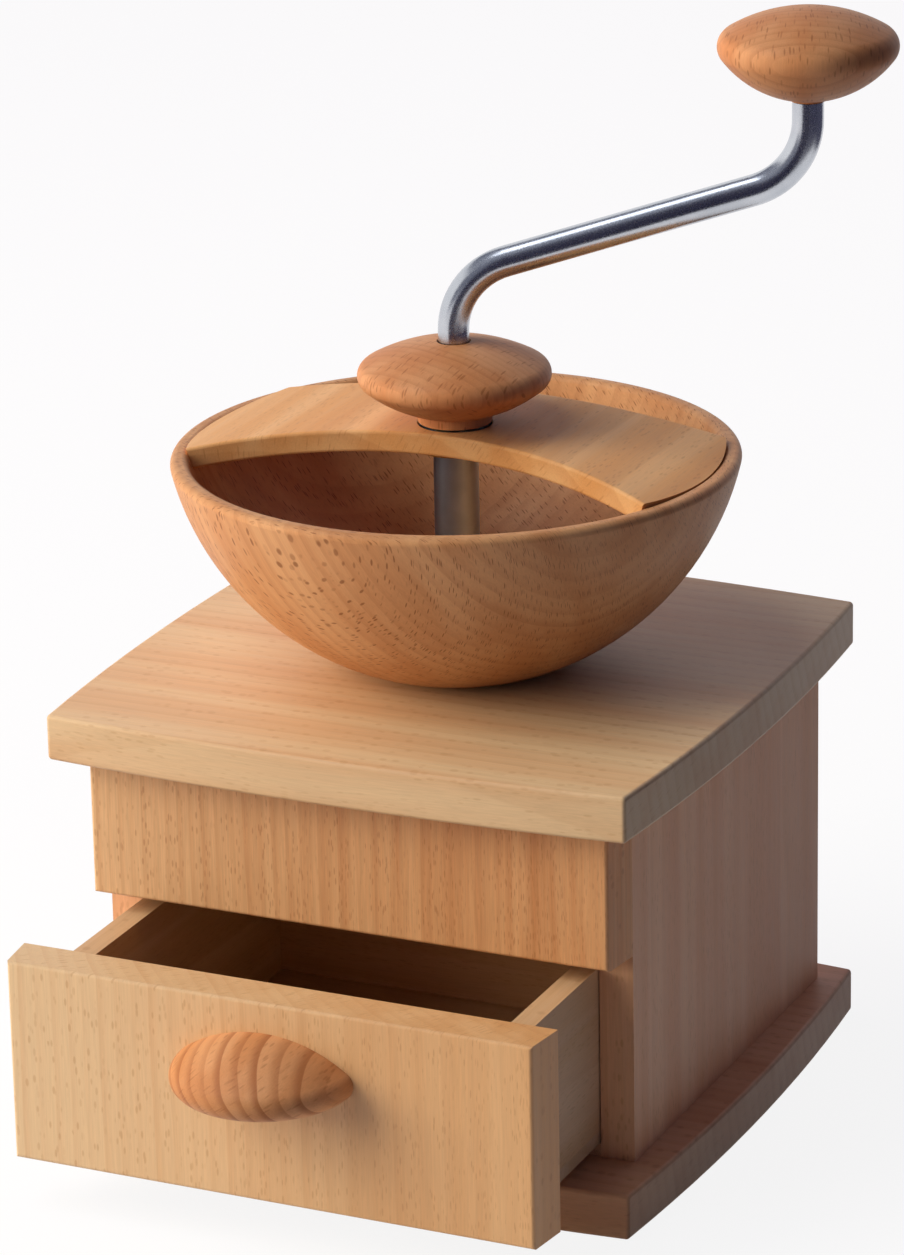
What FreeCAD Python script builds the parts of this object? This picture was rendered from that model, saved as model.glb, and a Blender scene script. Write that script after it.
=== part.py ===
"""Hand grain mill: a turned hopper bowl on a beech case, with a bent crank, millstones and a meal drawer.

The frame has +Z up. The spindle is the Z axis, the underside of the base is Z = 0 and the front faces -Y.
All sizes are in millimetres. The drawer stands part open, as it does when the meal is taken out.
"""

import FreeCAD
import Part
import Sketcher

import math
import os

from FreeCAD import Placement, Rotation, Vector

SHEET = "dims"
ROOT_3 = 3.0 ** 0.5
PIECES = []

DIMENSIONS = (
    ("plate_width", 200.0, "top and base plate, corner to corner across the front"),
    ("plate_depth", 198.0, "top and base plate, corner to corner from front to back"),
    ("plate_thick", 15.3, "thickness of both plates"),
    ("plate_bow", 4.7, "how far each plate edge bows out at its middle"),
    ("plate_round", 1.4, "rounding of the plate edges"),
    ("case_height", 148.5, "underside of the base to the top of the top plate"),
    ("case_width", 184.0, "outside of the two side panels"),
    ("panel_thick", 11.5, "side panels"),
    ("back_thick", 10.0, "back panel"),
    ("board_thick", 15.4, "front rail and drawer front"),
    ("board_round", 1.2, "rounding of the front boards"),
    ("end_bevel", 2.0, "how much narrower a front board is at its face than at its back"),
    ("front_overhang", 9.0, "plate corner in front of the rail"),
    ("back_overhang", 12.0, "plate corner behind the back panel"),
    ("rail_height", 47.3, "front rail under the top plate"),
    ("rail_gap", 1.3, "gap between the rail and the drawer front"),
    ("base_gap", 1.8, "gap between the base and the drawer front"),
    ("drawer_open", 59.0, "how far the drawer stands open"),
    ("drawer_length", 148.0, "drawer box behind its front"),
    ("drawer_wall", 8.0, "drawer sides and back"),
    ("drawer_drop", 4.7, "drawer sides below the top of the drawer front"),
    ("drawer_floor", 4.3, "drawer bottom board"),
    ("drawer_play", 0.5, "drawer side to case panel"),
    ("runner_height", 4.3, "drawer runner strip"),
    ("runner_width", 12.0, "drawer runner strip"),
    ("runner_play", 0.2, "drawer bottom above its runners"),
    ("pull_radius", 30.0, "half of a turned disc glued to the drawer front"),
    ("pull_rim", 5.0, "rounding of the rim of the pull"),
    ("pull_crown", 13.0, "pull above its rim"),
    ("pull_belly", 10.6, "pull below its rim"),
    ("pull_below_top", 23.1, "rim of the pull below the top of the drawer front"),
    ("pull_screw_spread", 12.0, "each pull screw from the middle"),
    ("bowl_radius", 94.6, "outer sphere of the bowl"),
    ("bowl_foot", 30.4, "radius of the flat foot"),
    ("bowl_height", 70.9, "foot to rim"),
    ("bowl_wall", 6.0, "wall at the rim"),
    ("bowl_floor", 5.5, "floor of the bowl at its axis before the throat is bored"),
    ("rim_round", 2.2, "rounding of the rim"),
    ("throat_radius", 20.0, "feed throat through the bowl, the top plate and the upper stone"),
    ("bridge_rise", 9.5, "arch of the bridge above the bowl rim"),
    ("bridge_thick", 7.2, "bridge board"),
    ("bridge_front", 16.0, "front edge of the bridge before the axis"),
    ("bridge_curve", 178.0, "radius of the hollow front edge"),
    ("bridge_back", 39.0, "straight back edge of the bridge behind the axis"),
    ("bridge_round", 1.0, "rounding of the long edges of the bridge"),
    ("seat_cut", 0.6, "flat cut into the underside of the arch for the bush"),
    ("seat_margin", 0.5, "flat cut beyond the flange and the nut"),
    ("bar_radius", 5.05, "round bar of the crank"),
    ("socket_wall", 2.25, "spindle wall round its socket"),
    ("socket_depth", 19.6, "socket in the spindle for the crank bar"),
    ("socket_play", 0.02, "bar to socket wall"),
    ("running_play", 0.06, "shaft in a bush"),
    ("thrust_play", 0.05, "faces that turn on each other"),
    ("bush_wall", 2.7, "guide bush round the spindle"),
    ("thread_wall", 1.4, "threaded bush round the spindle"),
    ("flange_lip", 3.8, "bush flange beyond its barrel"),
    ("flange_thick", 2.0, "bush flange"),
    ("nut_wall", 1.5, "bridge nut beyond its thread"),
    ("nut_height", 3.0, "bridge nut"),
    ("nut_recess", 3.4, "seat of the nut below the top of the bridge"),
    ("bush_engage", 5.5, "threaded barrel inside the cup"),
    ("adjuster_gap", 0.6, "adjuster knob above the bridge"),
    ("adjuster_radius", 31.3, "adjuster knob"),
    ("adjuster_rim", 4.4, "rounding of the rim of the adjuster knob"),
    ("adjuster_crown", 11.3, "adjuster knob above its rim"),
    ("adjuster_belly", 14.0, "adjuster knob below its rim, before its neck is left on"),
    ("adjuster_land", 1.4, "wooden neck beyond the metal cup"),
    ("adjuster_neck", 3.0, "height of the straight neck"),
    ("cup_wall", 1.9, "threaded cup in the adjuster knob"),
    ("cup_skirt", 8.0, "threaded length of the cup"),
    ("cup_flange", 2.4, "top of the cup, which carries the spindle"),
    ("bar_play", 0.5, "crank bar to the hole in the knob"),
    ("washer_thick", 1.5, "thrust washer"),
    ("collar_height", 5.0, "spindle collar"),
    ("collar_inset", 1.0, "collar and washer inside the cup radius"),
    ("pin_radius", 1.5, "cross pin through collar, spindle and bar"),
    ("roof_gap", 0.9, "knob cavity above the collar"),
    ("crank_angle", 19.0, "angle of the crank from +X in degrees"),
    ("crank_arm", 113.15, "crank radius"),
    ("crank_stem", 30.8, "spindle top to the lower corner of the bar"),
    ("crank_lift", 34.1, "rise of the arm between its corners"),
    ("crank_post", 24.13, "upper corner to the foot of the grip"),
    ("crank_bend", 24.0, "radius of both bends"),
    ("grip_radius", 28.6, "crank grip"),
    ("grip_rim", 5.8, "rounding of the rim of the grip"),
    ("grip_crown", 12.0, "grip above its rim"),
    ("grip_belly", 17.2, "grip below its rim, before its foot is left on"),
    ("grip_foot", 5.6, "radius of the flat foot of the grip"),
    ("grip_neck", 0.6, "height of the straight foot of the grip"),
    ("grip_gap", 0.3, "grip foot above the end of the bar"),
    ("spigot_radius", 3.4, "round end of the bar inside the grip"),
    ("spigot_length", 15.0, "round end of the bar inside the grip"),
    ("grip_bush_wall", 1.2, "sleeve pressed into the grip"),
    ("clip_width", 0.8, "retaining ring on the spigot"),
    ("clip_height", 1.0, "retaining ring on the spigot"),
    ("spider_wall", 3.0, "outer ring of the guide spider"),
    ("spider_height", 6.0, "guide spider"),
    ("spider_hub", 2.4, "spider hub round its bush"),
    ("spider_arm", 4.0, "width of a spider arm"),
    ("spider_count", 3.0, "arms of the spider"),
    ("guide_proud", 1.0, "guide bush beyond the spider at each end"),
    ("stone_radius", 50.0, "millstones"),
    ("stone_thick", 16.0, "millstones"),
    ("stone_gap", 1.8, "gap between the stones at the coarsest setting"),
    ("stone_relief", 4.5, "depth of the feed bevel in the stones"),
    ("relief_width", 10.0, "width of the feed bevel in the stones"),
    ("furrow_width", 4.0, "furrow across"),
    ("furrow_depth", 1.2, "furrow depth"),
    ("furrow_offset", 8.0, "furrow beside the stone centre"),
    ("furrow_count", 8.0, "furrows in each stone"),
    ("holder_thick", 2.0, "steel plate that holds the fixed stone"),
    ("holder_lip", 12.0, "holder beyond the stone"),
    ("boss_wall", 1.7, "carrier boss beyond the spindle"),
    ("boss_height", 5.5, "carrier boss inside the runner stone"),
    ("carrier_thick", 3.0, "plate under the runner stone"),
    ("carrier_inset", 8.0, "carrier inside the stone radius"),
    ("stub_radius", 5.0, "threaded end of the spindle"),
    ("runner_nut_wall", 4.0, "nut under the carrier beyond its thread"),
    ("runner_nut_height", 6.0, "nut under the carrier"),
    ("stub_proud", 1.0, "spindle end below its nut"),
    ("screw_radius", 2.0, "wood screw shank"),
    ("screw_head", 4.0, "wood screw head radius"),
    ("screw_head_height", 2.4, "wood screw head"),
    ("screw_bite", 8.0, "screw length in the wood that it holds"),
    ("screw_play", 0.3, "screw head in its counterbore"),
    ("screw_count", 3.0, "screws of the bowl and of the stone holder"),
)


class Size:
    """A length that keeps its number together with the sheet expression that it comes from."""

    def __init__(self, value, text):
        self.value = value
        self.text = text

    @staticmethod
    def of(item):
        """Return item as a Size, writing a plain number as its own expression."""
        if isinstance(item, Size):
            return item
        return Size(float(item), repr(float(item)))

    def join(self, other, sign, value):
        return Size(value, f"({self.text} {sign} {other.text})")

    def __add__(self, other):
        other = Size.of(other)
        return self.join(other, "+", self.value + other.value)

    def __sub__(self, other):
        other = Size.of(other)
        return self.join(other, "-", self.value - other.value)

    def __mul__(self, other):
        other = Size.of(other)
        return self.join(other, "*", self.value * other.value)

    def __truediv__(self, other):
        other = Size.of(other)
        return self.join(other, "/", self.value / other.value)

    def __radd__(self, other):
        return Size.of(other) + self

    def __rsub__(self, other):
        return Size.of(other) - self

    def __rmul__(self, other):
        return Size.of(other) * self

    def __neg__(self):
        return Size.of(0) - self

    def root(self):
        return Size(math.sqrt(self.value), f"sqrt({self.text})")

    def cosine(self):
        return Size(math.cos(math.radians(self.value)), f"cos({self.text})")

    def sine(self):
        return Size(math.sin(math.radians(self.value)), f"sin({self.text})")


ZERO = Size.of(0)


class Sizes:
    """The driving dimensions by name, and the positions that several pieces share."""

    def __init__(self, sheet):
        for name, _, _ in DIMENSIONS:
            setattr(self, name, Size(sheet.get(name), f"{SHEET}.{name}"))
        self.derive_case()
        self.derive_bowl()
        self.derive_spindle()
        self.derive_crank()
        self.derive_stones()

    def derive_case(self):
        self.top_under = self.case_height - self.plate_thick
        self.panel_height = self.top_under - self.plate_thick
        self.outer_x = self.case_width / 2
        self.inner_x = self.outer_x - self.panel_thick
        self.rail_front = self.front_overhang - self.plate_depth / 2
        self.rail_back = self.rail_front + self.board_thick
        self.rail_bottom = self.top_under - self.rail_height
        self.case_back = self.plate_depth / 2 - self.back_overhang
        self.back_inner = self.case_back - self.back_thick
        self.front_top = self.rail_bottom - self.rail_gap
        self.front_bottom = self.plate_thick + self.base_gap
        self.front_face = self.rail_front - self.drawer_open
        self.box_front = self.front_face + self.board_thick
        self.box_bottom = self.plate_thick + self.runner_height + self.runner_play
        self.box_floor = self.box_bottom + self.drawer_floor
        self.box_top = self.front_top - self.drawer_drop
        self.box_half = self.inner_x - self.drawer_play
        self.pull_height = self.front_top - self.pull_below_top

    def derive_bowl(self):
        sphere_height = (self.bowl_radius * self.bowl_radius - self.bowl_foot * self.bowl_foot).root()
        above_rim = sphere_height - self.bowl_height
        self.rim_outer = (self.bowl_radius * self.bowl_radius - above_rim * above_rim).root()
        self.rim_inner = self.rim_outer - self.bowl_wall
        rim_term = self.rim_inner * self.rim_inner + self.bowl_height * self.bowl_height
        floor_term = self.bowl_floor * self.bowl_floor
        self.hollow_centre = (rim_term - floor_term) / (2 * (self.bowl_height - self.bowl_floor))
        self.hollow_radius = self.hollow_centre - self.bowl_floor
        self.rim_height = self.case_height + self.bowl_height
        self.bridge_top = self.rim_height + self.bridge_rise
        self.bridge_under = self.bridge_top - self.bridge_thick
        span_term = self.rim_inner * self.rim_inner + self.bridge_rise * self.bridge_rise
        self.arch_radius = span_term / (2 * self.bridge_rise)

    def derive_spindle(self):
        self.spindle_radius = self.bar_radius + self.socket_wall
        self.bush_bore = self.spindle_radius + self.running_play
        self.bush_radius = self.spindle_radius + self.bush_wall
        self.thread_radius = self.spindle_radius + self.thread_wall
        self.flange_radius = self.thread_radius + self.flange_lip
        self.nut_radius = (self.thread_radius + self.nut_wall) * (2 / ROOT_3)
        self.nut_seat = self.bridge_top - self.nut_recess
        self.flange_seat = self.bridge_under + self.seat_cut
        self.adjuster_foot = self.bridge_top + self.adjuster_gap
        self.bush_top = self.adjuster_foot + self.bush_engage
        self.cup_radius = self.thread_radius + self.cup_wall
        self.cup_top = self.adjuster_foot + self.cup_skirt + self.cup_flange
        self.washer_foot = self.cup_top + self.thrust_play
        self.collar_foot = self.washer_foot + self.washer_thick + self.thrust_play
        self.collar_radius = self.cup_radius - self.collar_inset
        self.spindle_top = self.collar_foot + self.collar_height
        self.socket_foot = self.spindle_top - self.socket_depth
        self.pin_height = self.collar_foot + self.collar_height / 2

    def derive_crank(self):
        self.lower_corner = self.spindle_top + self.crank_stem
        self.upper_corner = self.lower_corner + self.crank_lift
        self.grip_foot_height = self.upper_corner + self.crank_post
        self.bar_top = self.grip_foot_height - self.grip_gap
        self.grip_x = self.crank_arm * self.crank_angle.cosine()
        self.grip_y = self.crank_arm * self.crank_angle.sine()
        self.grip_bore = self.spigot_radius + self.running_play
        self.grip_bush_radius = self.grip_bore + self.grip_bush_wall

    def derive_stones(self):
        self.spider_radius = self.throat_radius + self.spider_wall
        self.spider_foot = self.case_height - self.spider_height
        self.hub_radius = self.bush_radius + self.spider_hub
        self.bowl_screw_ring = (self.spider_radius + self.bowl_foot) / 2
        self.holder_radius = self.stone_radius + self.holder_lip
        self.holder_screw_ring = self.stone_radius + self.holder_lip / 2
        self.holder_under = self.top_under - self.holder_thick
        self.fixed_face = self.holder_under - self.stone_thick
        self.runner_face = self.fixed_face - self.stone_gap
        self.runner_foot = self.runner_face - self.stone_thick
        self.boss_radius = self.spindle_radius + self.boss_wall
        self.shoulder = self.runner_foot + self.boss_height
        self.carrier_under = self.runner_foot - self.carrier_thick
        self.runner_nut_under = self.carrier_under - self.runner_nut_height
        self.spindle_foot = self.runner_nut_under - self.stub_proud


def make_sheet(doc):
    """Write the driving dimensions into a sheet: name, value with its alias, and what it is."""
    sheet = doc.addObject("Spreadsheet::Sheet", SHEET)
    for row, (name, value, note) in enumerate(DIMENSIONS, start=1):
        sheet.set(f"A{row}", name)
        sheet.set(f"B{row}", str(value))
        sheet.setAlias(f"B{row}", name)
        sheet.set(f"C{row}", note)
    doc.recompute()
    return sheet


def keep(piece, name):
    """Label a finished piece and put it on the list of pieces to write."""
    piece.Label = name
    PIECES.append(piece)
    return piece


def bind(item, path, size):
    """Tie one property of a document object to a size."""
    item.setExpression(path, Size.of(size).text)


def place(item, x=ZERO, y=ZERO, z=ZERO, turn=None, tilt=0.0):
    """Put an object at a point, turned about Z by a size or tilted about X by a fixed angle."""
    point = [Size.of(x), Size.of(y), Size.of(z)]
    rotation = Rotation(Vector(1, 0, 0), tilt)
    if turn is not None:
        rotation = Rotation(Vector(0, 0, 1), turn.value)
    item.Placement = Placement(Vector(*[part.value for part in point]), rotation)
    for axis, part in zip("xyz", point):
        bind(item, f"Placement.Base.{axis}", part)
    if turn is not None:
        bind(item, "Placement.Rotation.Angle", turn)


def new_body(doc, name):
    body = doc.addObject("PartDesign::Body", name)
    return keep(body, name)


def origin_item(body, role):
    """Return one plane or axis of a body's own origin."""
    return next(item for item in body.Origin.OriginFeatures if item.Role == role)


def new_sketch(body, name, plane="XY_Plane", x=ZERO, z=ZERO):
    """Start a sketch on one of the body's own planes, moved by x in the plane and z along its normal."""
    sketch = body.newObject("Sketcher::SketchObject", name)
    sketch.AttachmentSupport = [(origin_item(body, plane), "")]
    sketch.MapMode = "FlatFace"
    sketch.AttachmentOffset = Placement(Vector(Size.of(x).value, 0, Size.of(z).value), Rotation())
    bind(sketch, "AttachmentOffset.Base.x", x)
    bind(sketch, "AttachmentOffset.Base.z", z)
    return sketch


def pin_point(sketch, name, geometry, point, x, y):
    """Hold one sketch point at two sizes from the sketch origin."""
    for kind, size in (("DistanceX", x), ("DistanceY", y)):
        index = sketch.addConstraint(Sketcher.Constraint(kind, -1, 1, geometry, point, size.value))
        sketch.renameConstraint(index, f"{name}_{kind[-1].lower()}")
        bind(sketch, f"Constraints.{name}_{kind[-1].lower()}", size)


def set_radius(sketch, name, geometry, radius):
    index = sketch.addConstraint(Sketcher.Constraint("Radius", geometry, radius.value))
    sketch.renameConstraint(index, name)
    bind(sketch, f"Constraints.{name}", radius)


def arc_middle(start, end, radius, side):
    """Return the middle point of a short arc that swells to the left (1) or right (-1) of its chord."""
    chord = end - start
    half = chord.Length / 2
    rise = radius - math.sqrt(radius * radius - half * half)
    left = Vector(-chord.y, chord.x, 0).normalize()
    return (start + end) / 2 + left * (rise * side)


def draw(sketch, corners, closed=True):
    """Draw a chain of lines and arcs.

    Each corner is (x, y) where a line leaves it, or (x, y, radius, side) where an arc leaves it.
    Every arc is stored running anticlockwise, so one that swells to the left is stored from its end.
    """
    count = len(corners) if closed else len(corners) - 1
    ends = []
    for index in range(count):
        corner = [Size.of(item) for item in corners[index][:2]]
        following = [Size.of(item) for item in corners[(index + 1) % len(corners)][:2]]
        start = Vector(corner[0].value, corner[1].value, 0)
        end = Vector(following[0].value, following[1].value, 0)
        is_arc = len(corners[index]) > 2
        first, last = 1, 2
        if is_arc:
            radius, side = corners[index][2:]
            middle = arc_middle(start, end, radius.value, side)
            if side > 0:
                start, end, first, last = end, start, 2, 1
            curve = Part.Arc(start, middle, end)
        else:
            curve = Part.LineSegment(start, end)
        geometry = sketch.addGeometry(curve)
        ends.append((geometry, first, last))
        pin_point(sketch, f"p{geometry}", geometry, ends[-1][1], *corner)
        if is_arc:
            set_radius(sketch, f"r{geometry}", geometry, radius)
    for (geometry, _, last), (following, first, _) in zip(ends, ends[1:]):
        sketch.addConstraint(Sketcher.Constraint("Coincident", geometry, last, following, first))
    if closed:
        sketch.addConstraint(Sketcher.Constraint("Coincident", ends[-1][0], ends[-1][2], ends[0][0], ends[0][1]))
    else:
        last = [Size.of(item) for item in corners[-1][:2]]
        pin_point(sketch, "tail", ends[-1][0], ends[-1][2], *last)


def draw_circle(sketch, radius, x=ZERO, y=ZERO):
    centre = Vector(Size.of(x).value, Size.of(y).value, 0)
    geometry = sketch.addGeometry(Part.Circle(centre, Vector(0, 0, 1), radius.value))
    pin_point(sketch, f"c{geometry}", geometry, 3, Size.of(x), Size.of(y))
    set_radius(sketch, f"r{geometry}", geometry, radius)


def draw_hexagon(sketch, radius):
    """Draw a hexagon with corners on the sketch's vertical axis."""
    side = radius * (ROOT_3 / 2)
    half = radius / 2
    draw(sketch, [(ZERO, radius), (-side, half), (-side, -half), (ZERO, -radius), (side, -half), (side, half)])


def pad(body, sketch, length, reverse=False):
    feature = body.newObject("PartDesign::Pad", f"{sketch.Name}_pad")
    feature.Profile = sketch
    feature.Length = length.value
    bind(feature, "Length", length)
    feature.Reversed = reverse
    return feature


def pocket(body, sketch, length, upward=False, both=False):
    """Cut downwards from the sketch, upwards, or the same length both ways."""
    feature = body.newObject("PartDesign::Pocket", f"{sketch.Name}_pocket")
    feature.Profile = sketch
    feature.Length = length.value
    bind(feature, "Length", length)
    feature.Reversed = upward
    if both:
        feature.SideType = "Symmetric"
    return feature


def revolve(body, sketch, angle=360.0, reverse=False):
    """Turn a profile about the sketch's vertical axis."""
    feature = body.newObject("PartDesign::Revolution", f"{sketch.Name}_turning")
    feature.Profile = sketch
    feature.ReferenceAxis = (sketch, ["V_Axis"])
    feature.Angle = angle
    feature.Reversed = reverse
    return feature


def ring_of(body, features, count):
    """Repeat features round the body's Z axis and make the pattern the body's tip."""
    pattern = body.newObject("PartDesign::PolarPattern", f"{features[0].Name}_ring")
    pattern.Originals = features
    pattern.Axis = (origin_item(body, "Z_Axis"), [""])
    pattern.Angle = 360.0
    pattern.Occurrences = int(count.value)
    bind(pattern, "Occurrences", count)
    body.Tip = pattern
    return pattern


def round_edges(body, feature, radius, wanted):
    """Fillet the edges of a feature for which wanted(edge) is true."""
    body.Document.recompute()
    names = [f"Edge{index}" for index, edge in enumerate(feature.Shape.Edges, start=1) if wanted(edge)]
    fillet = body.newObject("PartDesign::Fillet", f"{feature.Name}_round")
    fillet.Base = (feature, names)
    fillet.Radius = radius.value
    bind(fillet, "Radius", radius)
    return fillet


def turned(doc, name, corners):
    """Make a body by turning one closed profile of (radius, height) corners."""
    body = new_body(doc, name)
    sketch = new_sketch(body, f"{name}_profile", "XZ_Plane")
    draw(sketch, corners)
    revolve(body, sketch)
    return body


def tube_corners(inner, outer, low, high):
    return [(inner, low), (outer, low), (outer, high), (inner, high)]


def board(doc, name, low, high):
    """Make a plain rectangular board between two corner points."""
    box = doc.addObject("Part::Box", name)
    for side, start, end in zip(("Length", "Width", "Height"), low, high):
        setattr(box, side, (end - start).value)
        bind(box, side, end - start)
    place(box, *low)
    return keep(box, name)


def screw(doc, name, d, length):
    """Make a wood screw along +Z with the underside of its head at Z = 0."""
    body = new_body(doc, name)
    sketch = new_sketch(body, f"{name}_profile", "XZ_Plane")
    draw(sketch, [
        (ZERO, -d.screw_head_height), (d.screw_head, -d.screw_head_height), (d.screw_head, ZERO),
        (d.screw_radius, ZERO), (d.screw_radius, length), (ZERO, length),
    ])
    revolve(body, sketch)
    return body


class Cap:
    """One face of a turned knob: a sphere on the axis that runs into the rounded rim."""

    def __init__(self, radius, rim, height):
        inner = radius - rim
        self.height = height
        self.sphere = (inner * inner + height * height - rim * rim) / (2 * (height - rim))
        self.touch_radius = inner * self.sphere / (self.sphere - rim)
        self.touch_height = (self.sphere - height) * rim / (self.sphere - rim)

    def height_at(self, radius):
        """Return the height of the face above the rim plane at a radius."""
        return self.height - self.sphere + (self.sphere * self.sphere - radius * radius).root()


def bowed_plate(doc, d, name, height):
    """Make a case plate whose four edges bow outwards."""
    body = new_body(doc, name)
    half_width = d.plate_width / 2
    half_depth = d.plate_depth / 2
    square = d.plate_bow * d.plate_bow
    front_curve = (half_width * half_width + square) / (2 * d.plate_bow)
    side_curve = (half_depth * half_depth + square) / (2 * d.plate_bow)
    outline = new_sketch(body, f"{name}_outline")
    draw(outline, [
        (-half_width, -half_depth, front_curve, -1), (half_width, -half_depth, side_curve, -1),
        (half_width, half_depth, front_curve, -1), (-half_width, half_depth, side_curve, -1),
    ])
    slab = pad(body, outline, d.plate_thick)
    round_edges(body, slab, d.plate_round, lambda edge: True)
    place(body, z=height)
    return body


def bore_top_plate(body, d):
    """Cut the feed throat, the seat of the spider and the screw holes into the top plate."""
    throat = new_sketch(body, "top_throat", z=d.plate_thick)
    draw_circle(throat, d.throat_radius)
    pocket(body, throat, d.plate_thick)
    seat = new_sketch(body, "top_spider_seat", z=d.plate_thick)
    draw_circle(seat, d.spider_radius)
    pocket(body, seat, d.spider_height)
    shank = new_sketch(body, "top_bowl_screw")
    draw_circle(shank, d.screw_radius, x=d.bowl_screw_ring)
    shank_hole = pocket(body, shank, d.plate_thick, upward=True)
    head = new_sketch(body, "top_bowl_screw_head")
    draw_circle(head, d.screw_head + d.screw_play, x=d.bowl_screw_ring)
    head_hole = pocket(body, head, d.screw_head_height + d.screw_play, upward=True)
    ring_of(body, [shank_hole, head_hole], d.screw_count)
    pilot = new_sketch(body, "top_holder_screw")
    draw_circle(pilot, d.screw_radius, x=-d.holder_screw_ring)
    pilot_hole = pocket(body, pilot, d.screw_bite, upward=True)
    ring_of(body, [pilot_hole], d.screw_count)


def front_board(doc, d, name, front, low, high):
    """Make a front board with bevelled ends: narrower at its face, flush with the case at its back."""
    body = new_body(doc, name)
    face_half = d.outer_x - d.end_bevel
    outline = new_sketch(body, f"{name}_outline")
    draw(outline, [(-face_half, ZERO), (face_half, ZERO), (d.outer_x, d.board_thick), (-d.outer_x, d.board_thick)])
    blank = pad(body, outline, high - low)
    round_edges(body, blank, d.board_round, lambda edge: edge.CenterOfMass.y < d.board_thick.value * 0.3)
    place(body, y=front, z=low)
    return body


def make_case(doc, d):
    """Make the plates, panels, rail and drawer runners."""
    bowed_plate(doc, d, "base_plate", ZERO)
    bore_top_plate(bowed_plate(doc, d, "top_plate", d.top_under), d)
    for name, low, high in (("left_side_panel", -d.outer_x, -d.inner_x), ("right_side_panel", d.inner_x, d.outer_x)):
        board(doc, name, (low, d.rail_back, d.plate_thick), (high, d.case_back, d.top_under))
    board(doc, "back_panel", (-d.inner_x, d.back_inner, d.plate_thick), (d.inner_x, d.case_back, d.top_under))
    front_board(doc, d, "front_rail", d.rail_front, d.rail_bottom, d.top_under)
    runner_top = d.plate_thick + d.runner_height
    runner_inner = d.inner_x - d.runner_width
    for name, low, high in (("left_runner", -d.inner_x, -runner_inner), ("right_runner", runner_inner, d.inner_x)):
        board(doc, name, (low, d.rail_back, d.plate_thick), (high, d.back_inner, runner_top))


def make_drawer(doc, d):
    """Make the meal drawer with its bevelled front and its turned pull."""
    front = front_board(doc, d, "drawer_front", d.front_face, d.front_bottom, d.front_top)
    holes = new_sketch(front, "pull_screw_holes", "XZ_Plane")
    for x in (-d.pull_screw_spread, d.pull_screw_spread):
        draw_circle(holes, d.screw_radius, x=x, y=d.pull_height - d.front_bottom)
    pocket(front, holes, d.board_thick)
    box_back = d.box_front + d.drawer_length
    inner_half = d.box_half - d.drawer_wall
    board(doc, "drawer_bottom", (-d.box_half, d.box_front, d.box_bottom), (d.box_half, box_back, d.box_floor))
    for name, low, high in (("drawer_left_side", -d.box_half, -inner_half), ("drawer_right_side", inner_half, d.box_half)):
        board(doc, name, (low, d.box_front, d.box_floor), (high, box_back, d.box_top))
    board(doc, "drawer_back", (-inner_half, box_back - d.drawer_wall, d.box_floor), (inner_half, box_back, d.box_top))
    make_pull(doc, d)
    for index, x in enumerate((-d.pull_screw_spread, d.pull_screw_spread), start=1):
        item = screw(doc, f"pull_screw_{index}", d, d.board_thick + d.screw_bite)
        place(item, x, d.box_front, d.pull_height, tilt=90.0)


def make_pull(doc, d):
    """Make the drawer pull: half of a turned disc with its flat side on the drawer front."""
    body = new_body(doc, "drawer_pull")
    crown = Cap(d.pull_radius, d.pull_rim, d.pull_crown)
    belly = Cap(d.pull_radius, d.pull_rim, d.pull_belly)
    profile = new_sketch(body, "pull_profile", "XZ_Plane")
    draw(profile, [
        (ZERO, -d.pull_belly, belly.sphere, -1), (belly.touch_radius, -belly.touch_height, d.pull_rim, -1),
        (crown.touch_radius, crown.touch_height, crown.sphere, -1), (ZERO, d.pull_crown),
    ])
    revolve(body, profile, angle=180.0, reverse=True)
    holes = new_sketch(body, "pull_pilots", "XZ_Plane")
    for x in (-d.pull_screw_spread, d.pull_screw_spread):
        draw_circle(holes, d.screw_radius, x=x)
    pocket(body, holes, d.screw_bite, upward=True)
    place(body, y=d.front_face, z=d.pull_height)


def make_bowl(doc, d):
    """Make the hopper bowl: a turned sphere with a flat foot, a hollow and a rounded rim."""
    body = turned(doc, "hopper_bowl", [
        (ZERO, ZERO), (d.bowl_foot, ZERO, d.bowl_radius, -1), (d.rim_outer, d.bowl_height), (ZERO, d.bowl_height),
    ])
    hollow = new_sketch(body, "bowl_hollow", "XZ_Plane")
    draw(hollow, [(ZERO, d.bowl_floor, d.hollow_radius, -1), (d.rim_inner, d.bowl_height), (ZERO, d.bowl_height)])
    groove = body.newObject("PartDesign::Groove", "bowl_hollow_turning")
    groove.Profile = hollow
    groove.ReferenceAxis = (hollow, ["V_Axis"])
    groove.Angle = 360.0
    throat = new_sketch(body, "bowl_throat")
    draw_circle(throat, d.throat_radius)
    pocket(body, throat, d.bowl_height, upward=True)
    at_rim = lambda edge: edge.BoundBox.ZMin > d.bowl_height.value * 0.99
    round_edges(body, body.Tip, d.rim_round, at_rim)
    pilot = new_sketch(body, "bowl_screw_pilot")
    draw_circle(pilot, d.screw_radius, x=d.bowl_screw_ring)
    ring_of(body, [pocket(body, pilot, d.screw_bite, upward=True)], d.screw_count)
    place(body, z=d.case_height)
    for index in range(int(d.screw_count.value)):
        angle = Size.of(360.0 * index) / d.screw_count
        item = screw(doc, f"bowl_screw_{index + 1}", d, d.plate_thick - d.screw_head_height + d.screw_bite)
        ring = d.bowl_screw_ring
        place(item, ring * angle.cosine(), ring * angle.sine(), d.top_under + d.screw_head_height)


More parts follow.
